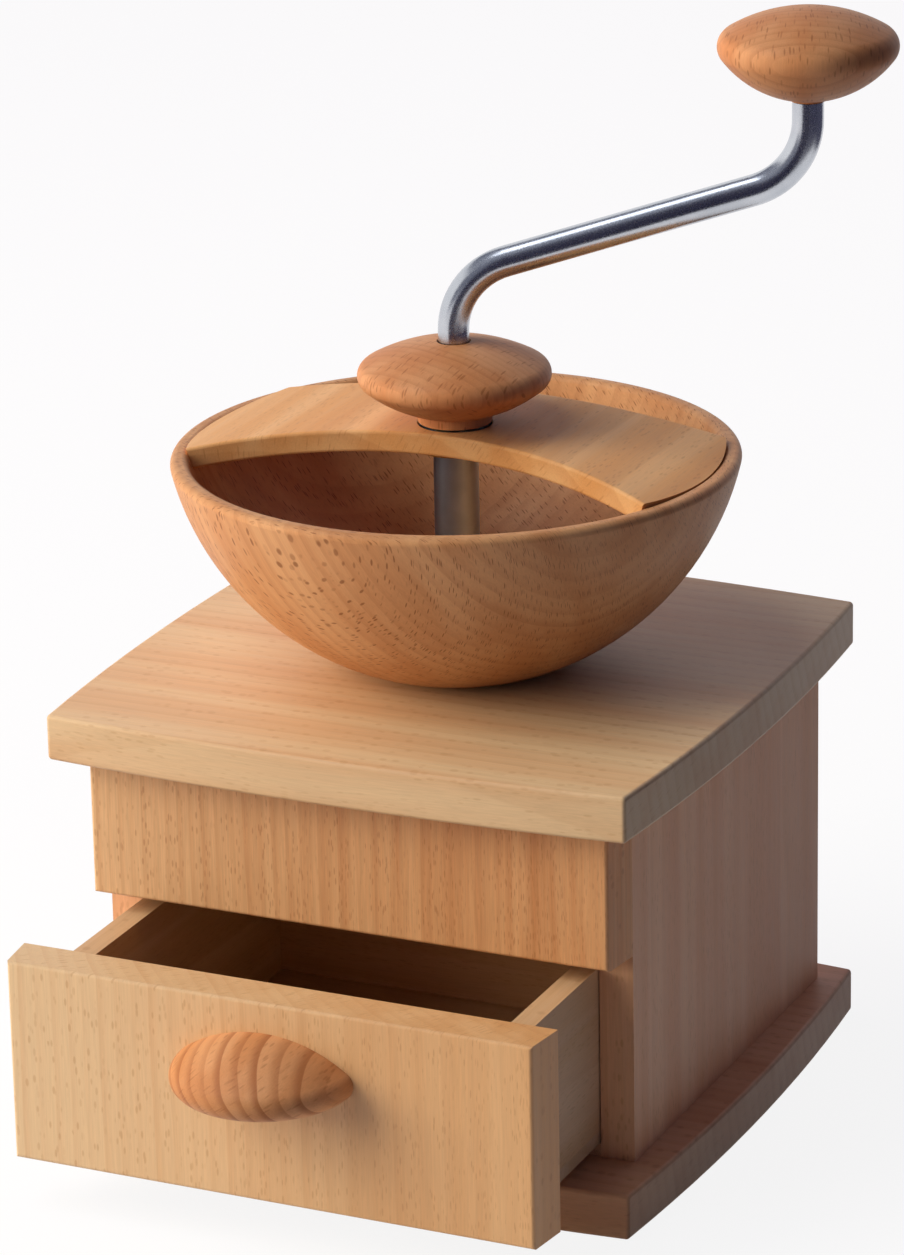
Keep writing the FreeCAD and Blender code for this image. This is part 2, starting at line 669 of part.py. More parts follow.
def make_bridge(doc, d):
    """Make the arched bridge: a bent board cut to its plan and to the hollow of the bowl."""
    def roll(name, radius):
        drum = doc.addObject("Part::Cylinder", name)
        bind(drum, "Radius", radius)
        bind(drum, "Height", 2 * d.rim_outer)
        place(drum, ZERO, -d.rim_outer, d.bridge_top - d.arch_radius, tilt=-90.0)
        return drum

    arch = doc.addObject("Part::Cut", "bridge_arch")
    arch.Base = roll("bridge_upper", d.arch_radius)
    arch.Tool = roll("bridge_lower", d.arch_radius - d.bridge_thick)
    plan = doc.addObject("PartDesign::Body", "bridge_plan")
    outline = new_sketch(plan, "bridge_outline")
    half = d.rim_outer
    sweep = d.bridge_curve - (d.bridge_curve * d.bridge_curve - half * half).root()
    corner = -d.bridge_front - sweep
    draw(outline, [(-half, corner, d.bridge_curve, 1), (half, corner), (half, d.bridge_back), (-half, d.bridge_back)])
    pad(plan, outline, d.bowl_height + d.bridge_rise)
    place(plan, z=d.case_height)
    hollow = doc.addObject("Part::Sphere", "bridge_hollow")
    bind(hollow, "Radius", d.hollow_radius)
    place(hollow, z=d.case_height + d.hollow_centre)
    trimmed = doc.addObject("Part::Common", "bridge_trimmed")
    trimmed.Base = arch
    trimmed.Tool = plan
    doc.recompute()
    eased = doc.addObject("Part::Fillet", "bridge_eased")
    eased.Base = trimmed
    radius = d.bridge_round.value
    across = [index for index, edge in enumerate(trimmed.Shape.Edges, start=1) if edge.BoundBox.XLength > half.value]
    eased.Edges = [(index, radius, radius) for index in across]
    fitted = doc.addObject("Part::Common", "bridge_fitted")
    fitted.Base = eased
    fitted.Tool = hollow
    seats = doc.addObject("Part::MultiFuse", "bridge_seats")
    nut_cut = d.nut_radius + d.seat_margin
    flange_cut = d.flange_radius + d.seat_margin
    levels = (
        ("bridge_nut_seat", nut_cut, d.nut_seat, d.bridge_thick),
        ("bridge_bore", d.thread_radius, d.flange_seat - d.bridge_thick, 3 * d.bridge_thick),
        ("bridge_flange_seat", flange_cut, d.flange_seat - d.bridge_thick, d.bridge_thick),
    )
    drills = []
    for name, radius, low, height in levels:
        drill = doc.addObject("Part::Cylinder", name)
        bind(drill, "Radius", radius)
        bind(drill, "Height", height)
        place(drill, z=low)
        drills.append(drill)
    seats.Shapes = drills
    bridge = doc.addObject("Part::Cut", "bridge_board")
    bridge.Base = fitted
    bridge.Tool = seats
    keep(bridge, "bridge_board")


def make_adjuster(doc, d):
    """Make the bush and nut in the bridge, and the knob, cup and washer that set the height of the spindle."""
    turned(doc, "bridge_bush", [
        (d.bush_bore, d.flange_seat - d.flange_thick), (d.flange_radius, d.flange_seat - d.flange_thick),
        (d.flange_radius, d.flange_seat), (d.thread_radius, d.flange_seat),
        (d.thread_radius, d.bush_top), (d.bush_bore, d.bush_top),
    ])
    hex_nut(doc, "bridge_nut", d.nut_radius, d.thread_radius, d.nut_seat, d.nut_height)
    crown = Cap(d.adjuster_radius, d.adjuster_rim, d.adjuster_crown)
    belly = Cap(d.adjuster_radius, d.adjuster_rim, d.adjuster_belly)
    neck = d.cup_radius + d.adjuster_land
    neck_top = d.adjuster_foot + d.adjuster_neck
    rim_height = neck_top + belly.height_at(neck)
    hole = d.bar_radius + d.bar_play
    roof = d.spindle_top + d.roof_gap
    turned(doc, "adjuster_knob", [
        (d.cup_radius, d.adjuster_foot), (neck, d.adjuster_foot), (neck, neck_top, belly.sphere, -1),
        (belly.touch_radius, rim_height - belly.touch_height, d.adjuster_rim, -1),
        (crown.touch_radius, rim_height + crown.touch_height, crown.sphere, -1),
        (hole, rim_height + crown.height_at(hole)), (hole, roof), (d.cup_radius, roof),
    ])
    skirt_top = d.adjuster_foot + d.cup_skirt
    skirt_bore = d.thread_radius + d.running_play
    turned(doc, "adjuster_cup", [
        (skirt_bore, d.adjuster_foot), (d.cup_radius, d.adjuster_foot), (d.cup_radius, d.cup_top),
        (d.bush_bore, d.cup_top), (d.bush_bore, skirt_top), (skirt_bore, skirt_top),
    ])
    washer_top = d.washer_foot + d.washer_thick
    turned(doc, "thrust_washer", tube_corners(d.bush_bore, d.collar_radius, d.washer_foot, washer_top))


def hex_nut(doc, name, corner_radius, bore, foot, height):
    body = new_body(doc, name)
    outline = new_sketch(body, f"{name}_outline")
    draw_hexagon(outline, corner_radius)
    draw_circle(outline, bore)
    pad(body, outline, height)
    place(body, z=foot)


def cross_hole(body, d, name, height):
    """Drill the hole of the cross pin along the body's Y axis."""
    hole = new_sketch(body, name, "XZ_Plane")
    draw_circle(hole, d.pin_radius, y=height)
    pocket(body, hole, 2 * d.collar_radius, both=True)


def make_spindle(doc, d):
    """Make the spindle with its socket, its collar and the cross pin that holds the crank bar."""
    spindle = turned(doc, "spindle", [
        (ZERO, d.spindle_foot), (d.stub_radius, d.spindle_foot), (d.stub_radius, d.shoulder),
        (d.spindle_radius, d.shoulder), (d.spindle_radius, d.spindle_top), (ZERO, d.spindle_top),
    ])
    socket = new_sketch(spindle, "spindle_socket", z=d.spindle_top)
    draw_circle(socket, d.bar_radius + d.socket_play)
    pocket(spindle, socket, d.socket_depth)
    cross_hole(spindle, d, "spindle_pin_hole", d.pin_height)
    place(spindle, turn=d.crank_angle)
    collar_corners = tube_corners(d.spindle_radius, d.collar_radius, d.collar_foot, d.spindle_top)
    collar = turned(doc, "spindle_collar", collar_corners)
    cross_hole(collar, d, "collar_pin_hole", d.pin_height)
    place(collar, turn=d.crank_angle)
    pin = new_body(doc, "collar_pin")
    section = new_sketch(pin, "pin_section", "XZ_Plane")
    draw_circle(section, d.pin_radius, y=d.pin_height)
    rod = pad(pin, section, 2 * d.collar_radius - d.collar_inset)
    rod.SideType = "Symmetric"
    place(pin, turn=d.crank_angle)


def make_crank(doc, d):
    """Make the bent bar: a round rod with two straight ends, two bends and a rising arm between them."""
    body = new_body(doc, "crank_bar")
    low = d.lower_corner - d.socket_foot
    high = d.upper_corner - d.socket_foot
    end = d.bar_top - d.socket_foot
    arm = (d.crank_arm * d.crank_arm + d.crank_lift * d.crank_lift).root()
    reach = d.crank_bend * ((arm - d.crank_lift) / (arm + d.crank_lift)).root()
    run_x = reach * d.crank_arm / arm
    run_z = reach * d.crank_lift / arm
    spine = new_sketch(body, "crank_spine", "XZ_Plane")
    draw(spine, [
        (ZERO, ZERO), (ZERO, low - reach, d.crank_bend, 1), (run_x, low + run_z),
        (d.crank_arm - run_x, high - run_z, d.crank_bend, -1), (d.crank_arm, high + reach), (d.crank_arm, end),
    ], closed=False)
    root = new_sketch(body, "crank_root")
    draw_circle(root, d.bar_radius)
    bar = body.newObject("PartDesign::AdditivePipe", "crank_sweep")
    bar.Profile = root
    bar.Spine = (spine, [f"Edge{index}" for index in range(1, 6)])
    spigot = new_sketch(body, "crank_spigot", x=d.crank_arm, z=end)
    draw_circle(spigot, d.spigot_radius)
    pad(body, spigot, d.spigot_length)
    cross_hole(body, d, "bar_pin_hole", d.pin_height - d.socket_foot)
    place(body, z=d.socket_foot, turn=d.crank_angle)


def make_grip(doc, d):
    """Make the grip with its sleeve, and the ring that keeps it on the bar."""
    crown = Cap(d.grip_radius, d.grip_rim, d.grip_crown)
    belly = Cap(d.grip_radius, d.grip_rim, d.grip_belly)
    depth = d.grip_neck + belly.height_at(d.grip_foot)
    clip_radius = d.spigot_radius + d.clip_width
    sleeve_length = d.spigot_length - 2 * d.clip_height
    roof = d.spigot_length + d.clip_height
    grip = turned(doc, "crank_grip", [
        (d.grip_bush_radius, ZERO), (d.grip_foot, ZERO), (d.grip_foot, d.grip_neck, belly.sphere, -1),
        (belly.touch_radius, depth - belly.touch_height, d.grip_rim, -1),
        (crown.touch_radius, depth + crown.touch_height, crown.sphere, -1), (ZERO, depth + d.grip_crown),
        (ZERO, roof), (d.grip_bush_radius, roof),
    ])
    sleeve = turned(doc, "grip_sleeve", tube_corners(d.grip_bore, d.grip_bush_radius, ZERO, sleeve_length))
    clip = turned(doc, "grip_clip", tube_corners(d.spigot_radius, clip_radius, ZERO, d.clip_height))
    for item in (grip, sleeve):
        place(item, d.grip_x, d.grip_y, d.grip_foot_height)
    place(clip, d.grip_x, d.grip_y, d.grip_foot_height + sleeve_length + d.thrust_play)


def make_spider(doc, d):
    """Make the guide spider in the throat, with the bush that steadies the spindle."""
    body = new_body(doc, "eye_spider")
    ring = new_sketch(body, "spider_ring")
    draw_circle(ring, d.spider_radius)
    draw_circle(ring, d.throat_radius)
    pad(body, ring, d.spider_height)
    arm = new_sketch(body, "spider_arm_plan")
    half = d.spider_arm / 2
    middle = (d.throat_radius + d.spider_radius) / 2
    draw(arm, [(d.bush_radius, -half), (middle, -half), (middle, half), (d.bush_radius, half)])
    arms = pad(body, arm, d.spider_height)
    ring_of(body, [arms], d.spider_count)
    hub = new_sketch(body, "spider_hub_plan")
    draw_circle(hub, d.hub_radius)
    pad(body, hub, d.spider_height)
    bore = new_sketch(body, "spider_bore", z=d.spider_height)
    draw_circle(bore, d.bush_radius)
    pocket(body, bore, d.spider_height)
    place(body, z=d.spider_foot)
    low = d.spider_foot - d.guide_proud
    high = d.case_height + d.guide_proud
    turned(doc, "guide_bush", tube_corners(d.bush_bore, d.bush_radius, low, high))


def cut_furrows(body, d, name, face, inner, upward):
    """Cut the slanting furrows into the grinding face of a stone."""
    plan = new_sketch(body, name, z=face)
    half = d.furrow_width / 2
    low = d.furrow_offset - half
    high = d.furrow_offset + half
    draw(plan, [(inner, low), (2 * d.stone_radius, low), (2 * d.stone_radius, high), (inner, high)])
    ring_of(body, [pocket(body, plan, d.furrow_depth, upward=upward)], d.furrow_count)


def make_stones(doc, d):
    """Make the fixed stone in its holder and the runner stone on its carrier."""
    bevel = d.throat_radius + d.relief_width
    fixed = turned(doc, "fixed_stone", [
        (d.throat_radius, d.fixed_face + d.stone_relief), (bevel, d.fixed_face), (d.stone_radius, d.fixed_face),
        (d.stone_radius, d.holder_under), (d.throat_radius, d.holder_under),
    ])
    cut_furrows(fixed, d, "fixed_furrow", d.fixed_face, d.throat_radius, True)
    runner = turned(doc, "runner_stone", [
        (d.boss_radius, d.runner_foot), (d.stone_radius, d.runner_foot), (d.stone_radius, d.runner_face),
        (bevel, d.runner_face), (d.throat_radius, d.runner_face - d.stone_relief),
        (d.boss_radius, d.runner_face - d.stone_relief),
    ])
    cut_furrows(runner, d, "runner_furrow", d.runner_face, d.throat_radius, False)
    carrier_radius = d.stone_radius - d.carrier_inset
    turned(doc, "runner_carrier", [
        (d.stub_radius, d.carrier_under), (carrier_radius, d.carrier_under), (carrier_radius, d.runner_foot),
        (d.boss_radius, d.runner_foot), (d.boss_radius, d.shoulder), (d.stub_radius, d.shoulder),
    ])
    nut_radius = (d.stub_radius + d.runner_nut_wall) * (2 / ROOT_3)
    hex_nut(doc, "runner_nut", nut_radius, d.stub_radius, d.runner_nut_under, d.runner_nut_height)
    make_holder(doc, d)


def make_holder(doc, d):
    """Make the plate that carries the fixed stone under the top plate, with its screws."""
    holder = turned(doc, "stone_holder", tube_corners(d.throat_radius, d.holder_radius, d.holder_under, d.top_under))
    hole = new_sketch(holder, "holder_screw_hole", z=d.top_under)
    draw_circle(hole, d.screw_radius, x=-d.holder_screw_ring)
    ring_of(holder, [pocket(holder, hole, d.holder_thick)], d.screw_count)
    for index in range(int(d.screw_count.value)):
        angle = Size.of(180.0) + Size.of(360.0 * index) / d.screw_count
        item = screw(doc, f"holder_screw_{index + 1}", d, d.holder_thick + d.screw_bite)
        ring = d.holder_screw_ring
        place(item, ring * angle.cosine(), ring * angle.sine(), d.holder_under)


def check_and_write(doc):
    """Stop on any failed object or bad solid, then write one STEP file for each piece."""
    doc.recompute()
    failed = [item.Label for item in doc.Objects if {"Invalid", "Error"} & set(item.State)]
    if failed:
        raise RuntimeError(f"objects that failed: {failed}")
    for piece in PIECES:
        shape = piece.Shape
        if shape.isNull() or not shape.isValid() or len(shape.Solids) != 1:
            raise RuntimeError(f"{piece.Label} is not one valid solid")
    os.makedirs("parts", exist_ok=True)
    for piece in PIECES:
        piece.Shape.Solids[0].exportStep(f"parts/{piece.Label}.step")


def main():
    doc = FreeCAD.newDocument("grain_mill")
    d = Sizes(make_sheet(doc))
    make_case(doc, d)
    make_drawer(doc, d)
    make_bowl(doc, d)
    make_bridge(doc, d)
    make_adjuster(doc, d)
    make_spindle(doc, d)
    make_crank(doc, d)
    make_grip(doc, d)
    make_spider(doc, d)
    make_stones(doc, d)
    check_and_write(doc)


main()
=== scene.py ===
"""Dress the hand grain mill: oiled beech, drawn steel, turned brass and dressed stone in a pale studio.

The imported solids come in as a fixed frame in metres. Each class looks after one sub-assembly of the mill,
and the studio class sets the floor, the cards, the lamps and the camera.
"""

import logging
import math
from dataclasses import dataclass, field
from enum import Enum

import bpy
from bpy.types import Material, Node, NodeSocket, NodeTree, Object
from mathutils import Matrix, Vector


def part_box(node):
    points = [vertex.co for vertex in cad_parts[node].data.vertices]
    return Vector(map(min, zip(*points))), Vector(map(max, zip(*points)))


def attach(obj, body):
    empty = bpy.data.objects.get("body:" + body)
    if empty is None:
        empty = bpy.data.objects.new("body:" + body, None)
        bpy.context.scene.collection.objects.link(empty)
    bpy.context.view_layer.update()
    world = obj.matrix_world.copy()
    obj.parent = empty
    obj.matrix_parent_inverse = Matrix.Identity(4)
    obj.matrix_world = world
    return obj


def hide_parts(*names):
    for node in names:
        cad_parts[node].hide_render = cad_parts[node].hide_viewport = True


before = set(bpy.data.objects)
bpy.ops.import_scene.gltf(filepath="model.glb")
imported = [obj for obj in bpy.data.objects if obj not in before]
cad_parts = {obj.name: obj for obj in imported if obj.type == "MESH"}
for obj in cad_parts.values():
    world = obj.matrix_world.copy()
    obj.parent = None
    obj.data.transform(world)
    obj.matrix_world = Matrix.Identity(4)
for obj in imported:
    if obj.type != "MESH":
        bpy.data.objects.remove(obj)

Pair = tuple[float, float]
Triple = tuple[float, float, float]
Colour = tuple[float, float, float, float]

MM = 0.001
WHITE = "#FFFFFF"
LOG = logging.getLogger("grain_mill")
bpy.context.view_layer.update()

# Values between which a noise node's output is spread over a pattern's two ends.
FIBRE_BAND = (0.3, 0.7)
STREAK_BAND = (0.36, 0.64)
STAIN_BAND = (0.4, 0.7)
# Share of a year's ring over which the late wood darkens, and over which it stops.
LATE_RISE = (0.35, 0.9)
LATE_FALL = (1.0, 0.94)
# Strength of the late wood in the weakest year, as a share of the strongest year's.
WEAK_YEAR = 0.3
# Distance from a cell's centre where a ray ends and where it is full.
RAY_EDGE = (0.40, 0.20)
# Random value of a cell where its ray starts to show and where it is full.
RAY_PICK = (0.25, 0.75)
# How squarely a face meets the fibres before it starts to show as end grain, and when it does so fully.
END_GRAIN = (0.45, 0.95)


def linear(code: str) -> Colour:
    """Turn an sRGB hex colour into linear light.

    Args:
        code: Colour such as "#C08A58".

    Returns:
        Linear red, green and blue, and an alpha of one.
    """
    parts = [int(code[i:i + 2], 16) / 255.0 for i in (1, 3, 5)]
    light = [c / 12.92 if c <= 0.04045 else ((c + 0.055) / 1.055) ** 2.4 for c in parts]
    return (light[0], light[1], light[2], 1.0)


def add(tree: NodeTree, kind: str, inputs: dict | None = None, **settings: object) -> Node:
    """Add one shader node with its settings and links.

    Args:
        tree: Node tree that takes the node.
        kind: Node type without its ShaderNode prefix.
        inputs: Input name or index, with the value it takes or the socket that feeds it.
        settings: Node properties by name.

    Returns:
        The new node.
    """
    node = tree.nodes.new("ShaderNode" + kind)
    for name, value in settings.items():
        setattr(node, name, value)
    for key, value in (inputs or {}).items():
        if isinstance(value, NodeSocket):
            tree.links.new(value, node.inputs[key])
        else:
            node.inputs[key].default_value = value
    return node


def maths(tree: NodeTree, operation: str, *values: float | NodeSocket) -> NodeSocket:
    """Add one step of arithmetic.

    Args:
        tree: Node tree that takes the step.
        operation: Name of the operation, such as "MULTIPLY".
        values: Numbers, or the sockets that feed them.

    Returns:
        Socket with the result.
    """
    return add(tree, "Math", dict(enumerate(values)), operation=operation).outputs[0]


def spread(
    tree: NodeTree, value: NodeSocket, band: Pair = (0.0, 1.0), ends: Pair = (0.0, 1.0), soft: bool = False
) -> NodeSocket:
    """Spread a band of values between two ends, and hold what lies beyond the band at the ends.

    Args:
        tree: Node tree that takes the step.
        value: Socket with the values.
        band: Values that become the first and the second end.
        ends: Results on the two sides of the band.
        soft: Whether the change starts and stops gently.

    Returns:
        Socket with the result.
    """
    kind = "SMOOTHSTEP" if soft else "LINEAR"
    inputs = {0: value, 1: band[0], 2: band[1], 3: ends[0], 4: ends[1]}
    return add(tree, "MapRange", inputs, interpolation_type=kind).outputs[0]


def blend(tree: NodeTree, share: NodeSocket, under: Colour | NodeSocket, over: Colour) -> NodeSocket:
    """Lay one colour over another.

    Args:
        tree: Node tree that takes the step.
        share: Socket with the share of the upper colour.
        under: Lower colour, or the socket that feeds it.
        over: Upper colour.

    Returns:
        Socket with the result.
    """
    return add(tree, "Mix", {0: share, 6: under, 7: over}, data_type="RGBA").outputs[2]


def stretch(tree: NodeTree, place: NodeSocket, sizes_mm: Triple) -> NodeSocket:
    """Measure a place in steps of a pattern's own size.

    Args:
        tree: Node tree that takes the step.
        place: Socket with the place in metres.
        sizes_mm: Size of the pattern along X, Y and Z.

    Returns:
        Socket with the place in steps.
    """
    return add(tree, "Mapping", {0: place, "Scale": tuple(1 / (size * MM) for size in sizes_mm)}).outputs[0]


def noise(tree: NodeTree, place: NodeSocket, detail: float, size: float = 1.0) -> Node:
    """Add soft noise.

    Args:
        tree: Node tree that takes the noise.
        place: Socket with the place.
        detail: Number of finer layers.
        size: Size of the pattern.

    Returns:
        The noise node.
    """
    return add(tree, "TexNoise", {"Vector": place, "Scale": 1 / size, "Detail": detail})


def close(tree: NodeTree, shader: str, inputs: dict) -> None:
    """Close a material with its surface.

    Args:
        tree: Node tree of the material.
        shader: Shader node without its prefix.
        inputs: Inputs of the shader.
    """
    face = add(tree, shader, inputs)
    add(tree, "OutputMaterial", {"Surface": face.outputs[0]})


def new_material(name: str) -> tuple[Material, NodeTree]:
    """Start an empty node material.

    Args:
        name: What the material is and how its surface was made.

    Returns:
        The material and its node tree.
    """
    material = bpy.data.materials.new(name)
    material.use_nodes = True
    material.node_tree.nodes.clear()
    return material, material.node_tree


def wear(node: str, material: Material) -> None:
    """Put one material on a node of the frame.

    Args:
        node: Name of the node.
        material: Material that it wears.
    """
    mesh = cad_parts[node].data
    mesh.materials.clear()
    mesh.materials.append(material)
    LOG.info("dressed %s in %s", node, material.name)


def select_only(piece: Object) -> None:
    """Make one object the only one that operators act on.

    Args:
        piece: The object.
    """
    bpy.ops.object.select_all(action="DESELECT")
    piece.select_set(True)
    bpy.context.view_layer.objects.active = piece


class Fibre(Enum):
    """The direction that the fibres of a piece of wood run in the mill's frame."""

    ACROSS = (1.0, 0.0, 0.0)
    BACKWARDS = (0.0, 1.0, 0.0)
    UPRIGHT = (0.0, 0.0, 1.0)
    LEANING = (-0.40, -0.18, 0.90)

    def direction(self) -> Vector:
        """Return the direction as a vector of length one."""
        return Vector(self.value).normalized()


@dataclass(frozen=True)
class Sawn:
    """How a piece was cut from the log.

    Attributes:
        fibre: Direction of the fibres.
        pith_mm: Centre of the log, measured from the middle of the piece.
    """

    fibre: Fibre
    pith_mm: Triple


@dataclass(frozen=True)
class OiledBeech:
    """Steamed beech, planed or turned, sanded and oiled.

    It gives the eye a pinkish tan with faint growth rings, long warm streaks and, most of all, the small dark
    spindles of its rays. The rays are ribbons that stand on edge along the radius of the log, so the same
    pattern shows dashes on a flat-sawn face, broad flecks on a quartered one and thin lines on end grain.

    Attributes:
        pale: Colour of the early wood.
        warm: Colour of the long streaks.
        late: Colour of the late wood that closes each ring.
        ray: Colour of the rays.
        ring_mm: Width of a growth ring.
        ring_depth: How strongly the late wood shows.
        ray_depth: How strongly the rays show.
        ray_mm: Spacing of the rays along the radius, round the ring and along the fibre.
        streak_mm: Width of the long streaks.
        streak_length: Length of the streaks, in widths.
        hair_mm: Width and length of the finest fibres, drawn coarser than real ones so that they show.
        hair_depth: How strongly the finest fibres show.
        wander_mm: Distance over which the log's growth wanders.
        wander_along: How quickly it wanders along the log, as a share of how quickly across it.
        bend_mm: How far it wanders.
        end_shade: Brightness of end grain, which drinks more oil, as a share of the long grain's.
        oil: Strength of the oil's gloss.
        gloss: Roughness of the smoothest and of the roughest fibres.
        relief_mm: Height of the fibres over the rays.
        relief: Strength of that relief.
        ior: Index of refraction of the hardened oil.
        lit_side_tint: Colour of painted light, a paler tint that grows with the distance from the log's centre, so
            that it lies on the lit left side of the piece; None where the piece has none.
        lit_side_mm: Distances from the log's centre where that painted light starts and where it is full.
    """

    pale: str
    warm: str
    late: str
    ray: str
    ring_mm: float = 4.5
    ring_depth: float = 0.35
    ray_depth: float = 0.6
    ray_mm: Triple = (6.0, 0.8, 4.5)
    streak_mm: float = 16.0
    streak_length: float = 24.0
    hair_mm: Pair = (0.5, 14.0)
    hair_depth: float = 0.05
    wander_mm: float = 38.0
    wander_along: float = 0.2
    bend_mm: float = 4.5
    end_shade: float = 0.86
    oil: float = 0.25
    gloss: Pair = (0.44, 0.56)
    relief_mm: float = 0.08
    relief: float = 0.2
    ior: float = 1.48
    lit_side_tint: str | None = None
    lit_side_mm: Pair = (200.0, 300.0)

    def material(self, node: str, sawn: Sawn) -> Material:
        """Make the material for one piece.

        Args:
            node: Node of the frame that wears it.
            sawn: How the piece was cut from its log.

        Returns:
            The finished material.
        """
        material, tree = new_material("oiled_beech_" + node)
        coord = add(tree, "TexCoord")
        board = self.lay_board(tree, coord, node, sawn)
        radius, arc, along = self.log_place(tree, board, sawn)
        rays = self.rays(tree, radius, arc, along)
        hair = self.drawn_noise(tree, board, *self.hair_mm, detail=2.0)
        tint = self.tint(tree, board, radius, rays)
        shade = self.shade(tree, coord, hair, sawn)
        colour = add(tree, "VectorMath", {0: tint, "Scale": shade}, operation="SCALE").outputs[0]
        gloss = spread(tree, hair, FIBRE_BAND, self.gloss)
        height = maths(tree, "SUBTRACT", hair, rays)
        bump = add(tree, "Bump", {"Strength": self.relief, "Distance": self.relief_mm * MM, "Height": height})
        close(tree, "BsdfPrincipled", {
            "Base Color": colour, "Roughness": gloss, "Normal": bump.outputs[0], "IOR": self.ior,
            "Specular IOR Level": self.oil,
        })
        return material

    def lay_board(self, tree: NodeTree, coord: Node, node: str, sawn: Sawn) -> NodeSocket:
        """Turn the frame so that the fibres run along Z and the log's centre is the origin.

        Args:
            tree: Node tree of the material.
            coord: Texture coordinate node.
            node: Node of the frame that wears the material.
            sawn: How the piece was cut from its log.

        Returns:
            Socket with the place in the log, in metres, slightly bent as a grown tree is.
        """
        low, high = (Vector(corner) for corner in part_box(node))
        pith = (low + high) / 2 + Vector(sawn.pith_mm) * MM
        upright = sawn.fibre.direction().rotation_difference(Vector((0, 0, 1))).to_matrix()
        facing = upright @ (Vector(sawn.pith_mm) * -MM)
        upright = Matrix.Rotation(-math.atan2(facing.y, facing.x), 3, "Z") @ upright
        log = add(tree, "Mapping", {
            0: coord.outputs["Object"], "Location": -(upright @ pith), "Rotation": upright.to_euler(),
        }).outputs[0]
        lazy = add(tree, "Mapping", {0: log, "Scale": (1.0, 1.0, self.wander_along)}).outputs[0]
        wander = noise(tree, lazy, detail=2.0, size=self.wander_mm * MM)
        bent = add(tree, "VectorMath", {
            0: wander.outputs["Color"], 1: (self.bend_mm * MM,) * 3, 2: log,
        }, operation="MULTIPLY_ADD")
        return bent.outputs[0]

    def log_place(self, tree: NodeTree, board: NodeSocket, sawn: Sawn) -> tuple[NodeSocket, NodeSocket, NodeSocket]:
        """Measure the place in the log as a forester would.

        Args:
            tree: Node tree of the material.
            board: Place in the log.
            sawn: How the piece was cut from its log.

        Returns:
            Sockets with the distance from the log's centre, round the ring and along the fibre.
        """
        reach = Vector(sawn.pith_mm).length * MM
        parts = add(tree, "SeparateXYZ", {0: board}).outputs
        level = add(tree, "CombineXYZ", {0: parts[0], 1: parts[1]}).outputs[0]
        radius = add(tree, "VectorMath", {0: level}, operation="LENGTH").outputs["Value"]
        turn = maths(tree, "ARCTAN2", parts[1], parts[0])
        return radius, maths(tree, "MULTIPLY", turn, reach), parts[2]

    def drawn_noise(
        self, tree: NodeTree, board: NodeSocket, wide_mm: float, long_mm: float, detail: float
    ) -> NodeSocket:
        """Make noise that is drawn out along the fibres.

        Args:
            tree: Node tree of the material.
            board: Place in the log.
            wide_mm: Size of the pattern across the fibres.
            long_mm: Size of the pattern along the fibres.
            detail: Number of finer layers.

        Returns:
            Socket with values about one half.
        """
        return noise(tree, stretch(tree, board, (wide_mm, wide_mm, long_mm)), detail).outputs["Fac"]

    def rings(self, tree: NodeTree, radius: NodeSocket) -> NodeSocket:
        """Make the late wood, which darkens slowly and stops sharply, in some years more than in others.

        Args:
            tree: Node tree of the material.
            radius: Distance from the log's centre.

        Returns:
            Socket with the strength of the late wood.
        """
        phase = maths(tree, "MULTIPLY", radius, 1 / (self.ring_mm * MM))
        share = maths(tree, "FRACT", phase)
        year = maths(tree, "FLOOR", phase)
        strength = add(tree, "TexWhiteNoise", {"W": year}, noise_dimensions="1D").outputs["Value"]
        strength = spread(tree, strength, ends=(WEAK_YEAR * self.ring_depth, self.ring_depth))
        rise, fall = (spread(tree, share, band, soft=True) for band in (LATE_RISE, LATE_FALL))
        return maths(tree, "MULTIPLY", maths(tree, "MULTIPLY", rise, fall), strength)

    def rays(self, tree: NodeTree, radius: NodeSocket, arc: NodeSocket, along: NodeSocket) -> NodeSocket:
        """Scatter the rays as stretched cells.

        Args:
            tree: Node tree of the material.
            radius: Distance from the log's centre.
            arc: Distance round the ring.
            along: Distance along the fibre.

        Returns:
            Socket with the strength of the rays.
        """
        steps = [
            maths(tree, "MULTIPLY", side, 1 / (size * MM))
            for side, size in zip((radius, arc, along), self.ray_mm)
        ]
        place = add(tree, "CombineXYZ", dict(enumerate(steps))).outputs[0]
        cells = add(tree, "TexVoronoi", {"Vector": place, "Scale": 1.0}).outputs
        body = spread(tree, cells["Distance"], RAY_EDGE, soft=True)
        pick = add(tree, "SeparateColor", {0: cells["Color"]}).outputs[0]
        return maths(tree, "MULTIPLY", body, spread(tree, pick, RAY_PICK, (0.0, self.ray_depth)))

    def tint(self, tree: NodeTree, board: NodeSocket, radius: NodeSocket, rays: NodeSocket) -> NodeSocket:
        """Lay the colours over each other: early wood, streaks, painted light on the lit side, late wood and rays.

        Args:
            tree: Node tree of the material.
            board: Place in the log.
            radius: Distance from the log's centre.
            rays: Strength of the rays.

        Returns:
            Socket with the colour of the long grain.
        """
        streak = self.drawn_noise(tree, board, self.streak_mm, self.streak_length * self.streak_mm, detail=3.0)
        layers = [(spread(tree, streak, STREAK_BAND, soft=True), self.warm)]
        # Painted light: a paler tint far from the log's centre, on the lit left side of the piece.
        if self.lit_side_tint:
            start, pure = (size * MM for size in self.lit_side_mm)
            layers.append((spread(tree, radius, (start, pure)), self.lit_side_tint))
        layers += [(self.rings(tree, radius), self.late), (rays, self.ray)]
        colour = linear(self.pale)
        for strength, code in layers:
            colour = blend(tree, strength, colour, linear(code))
        return colour

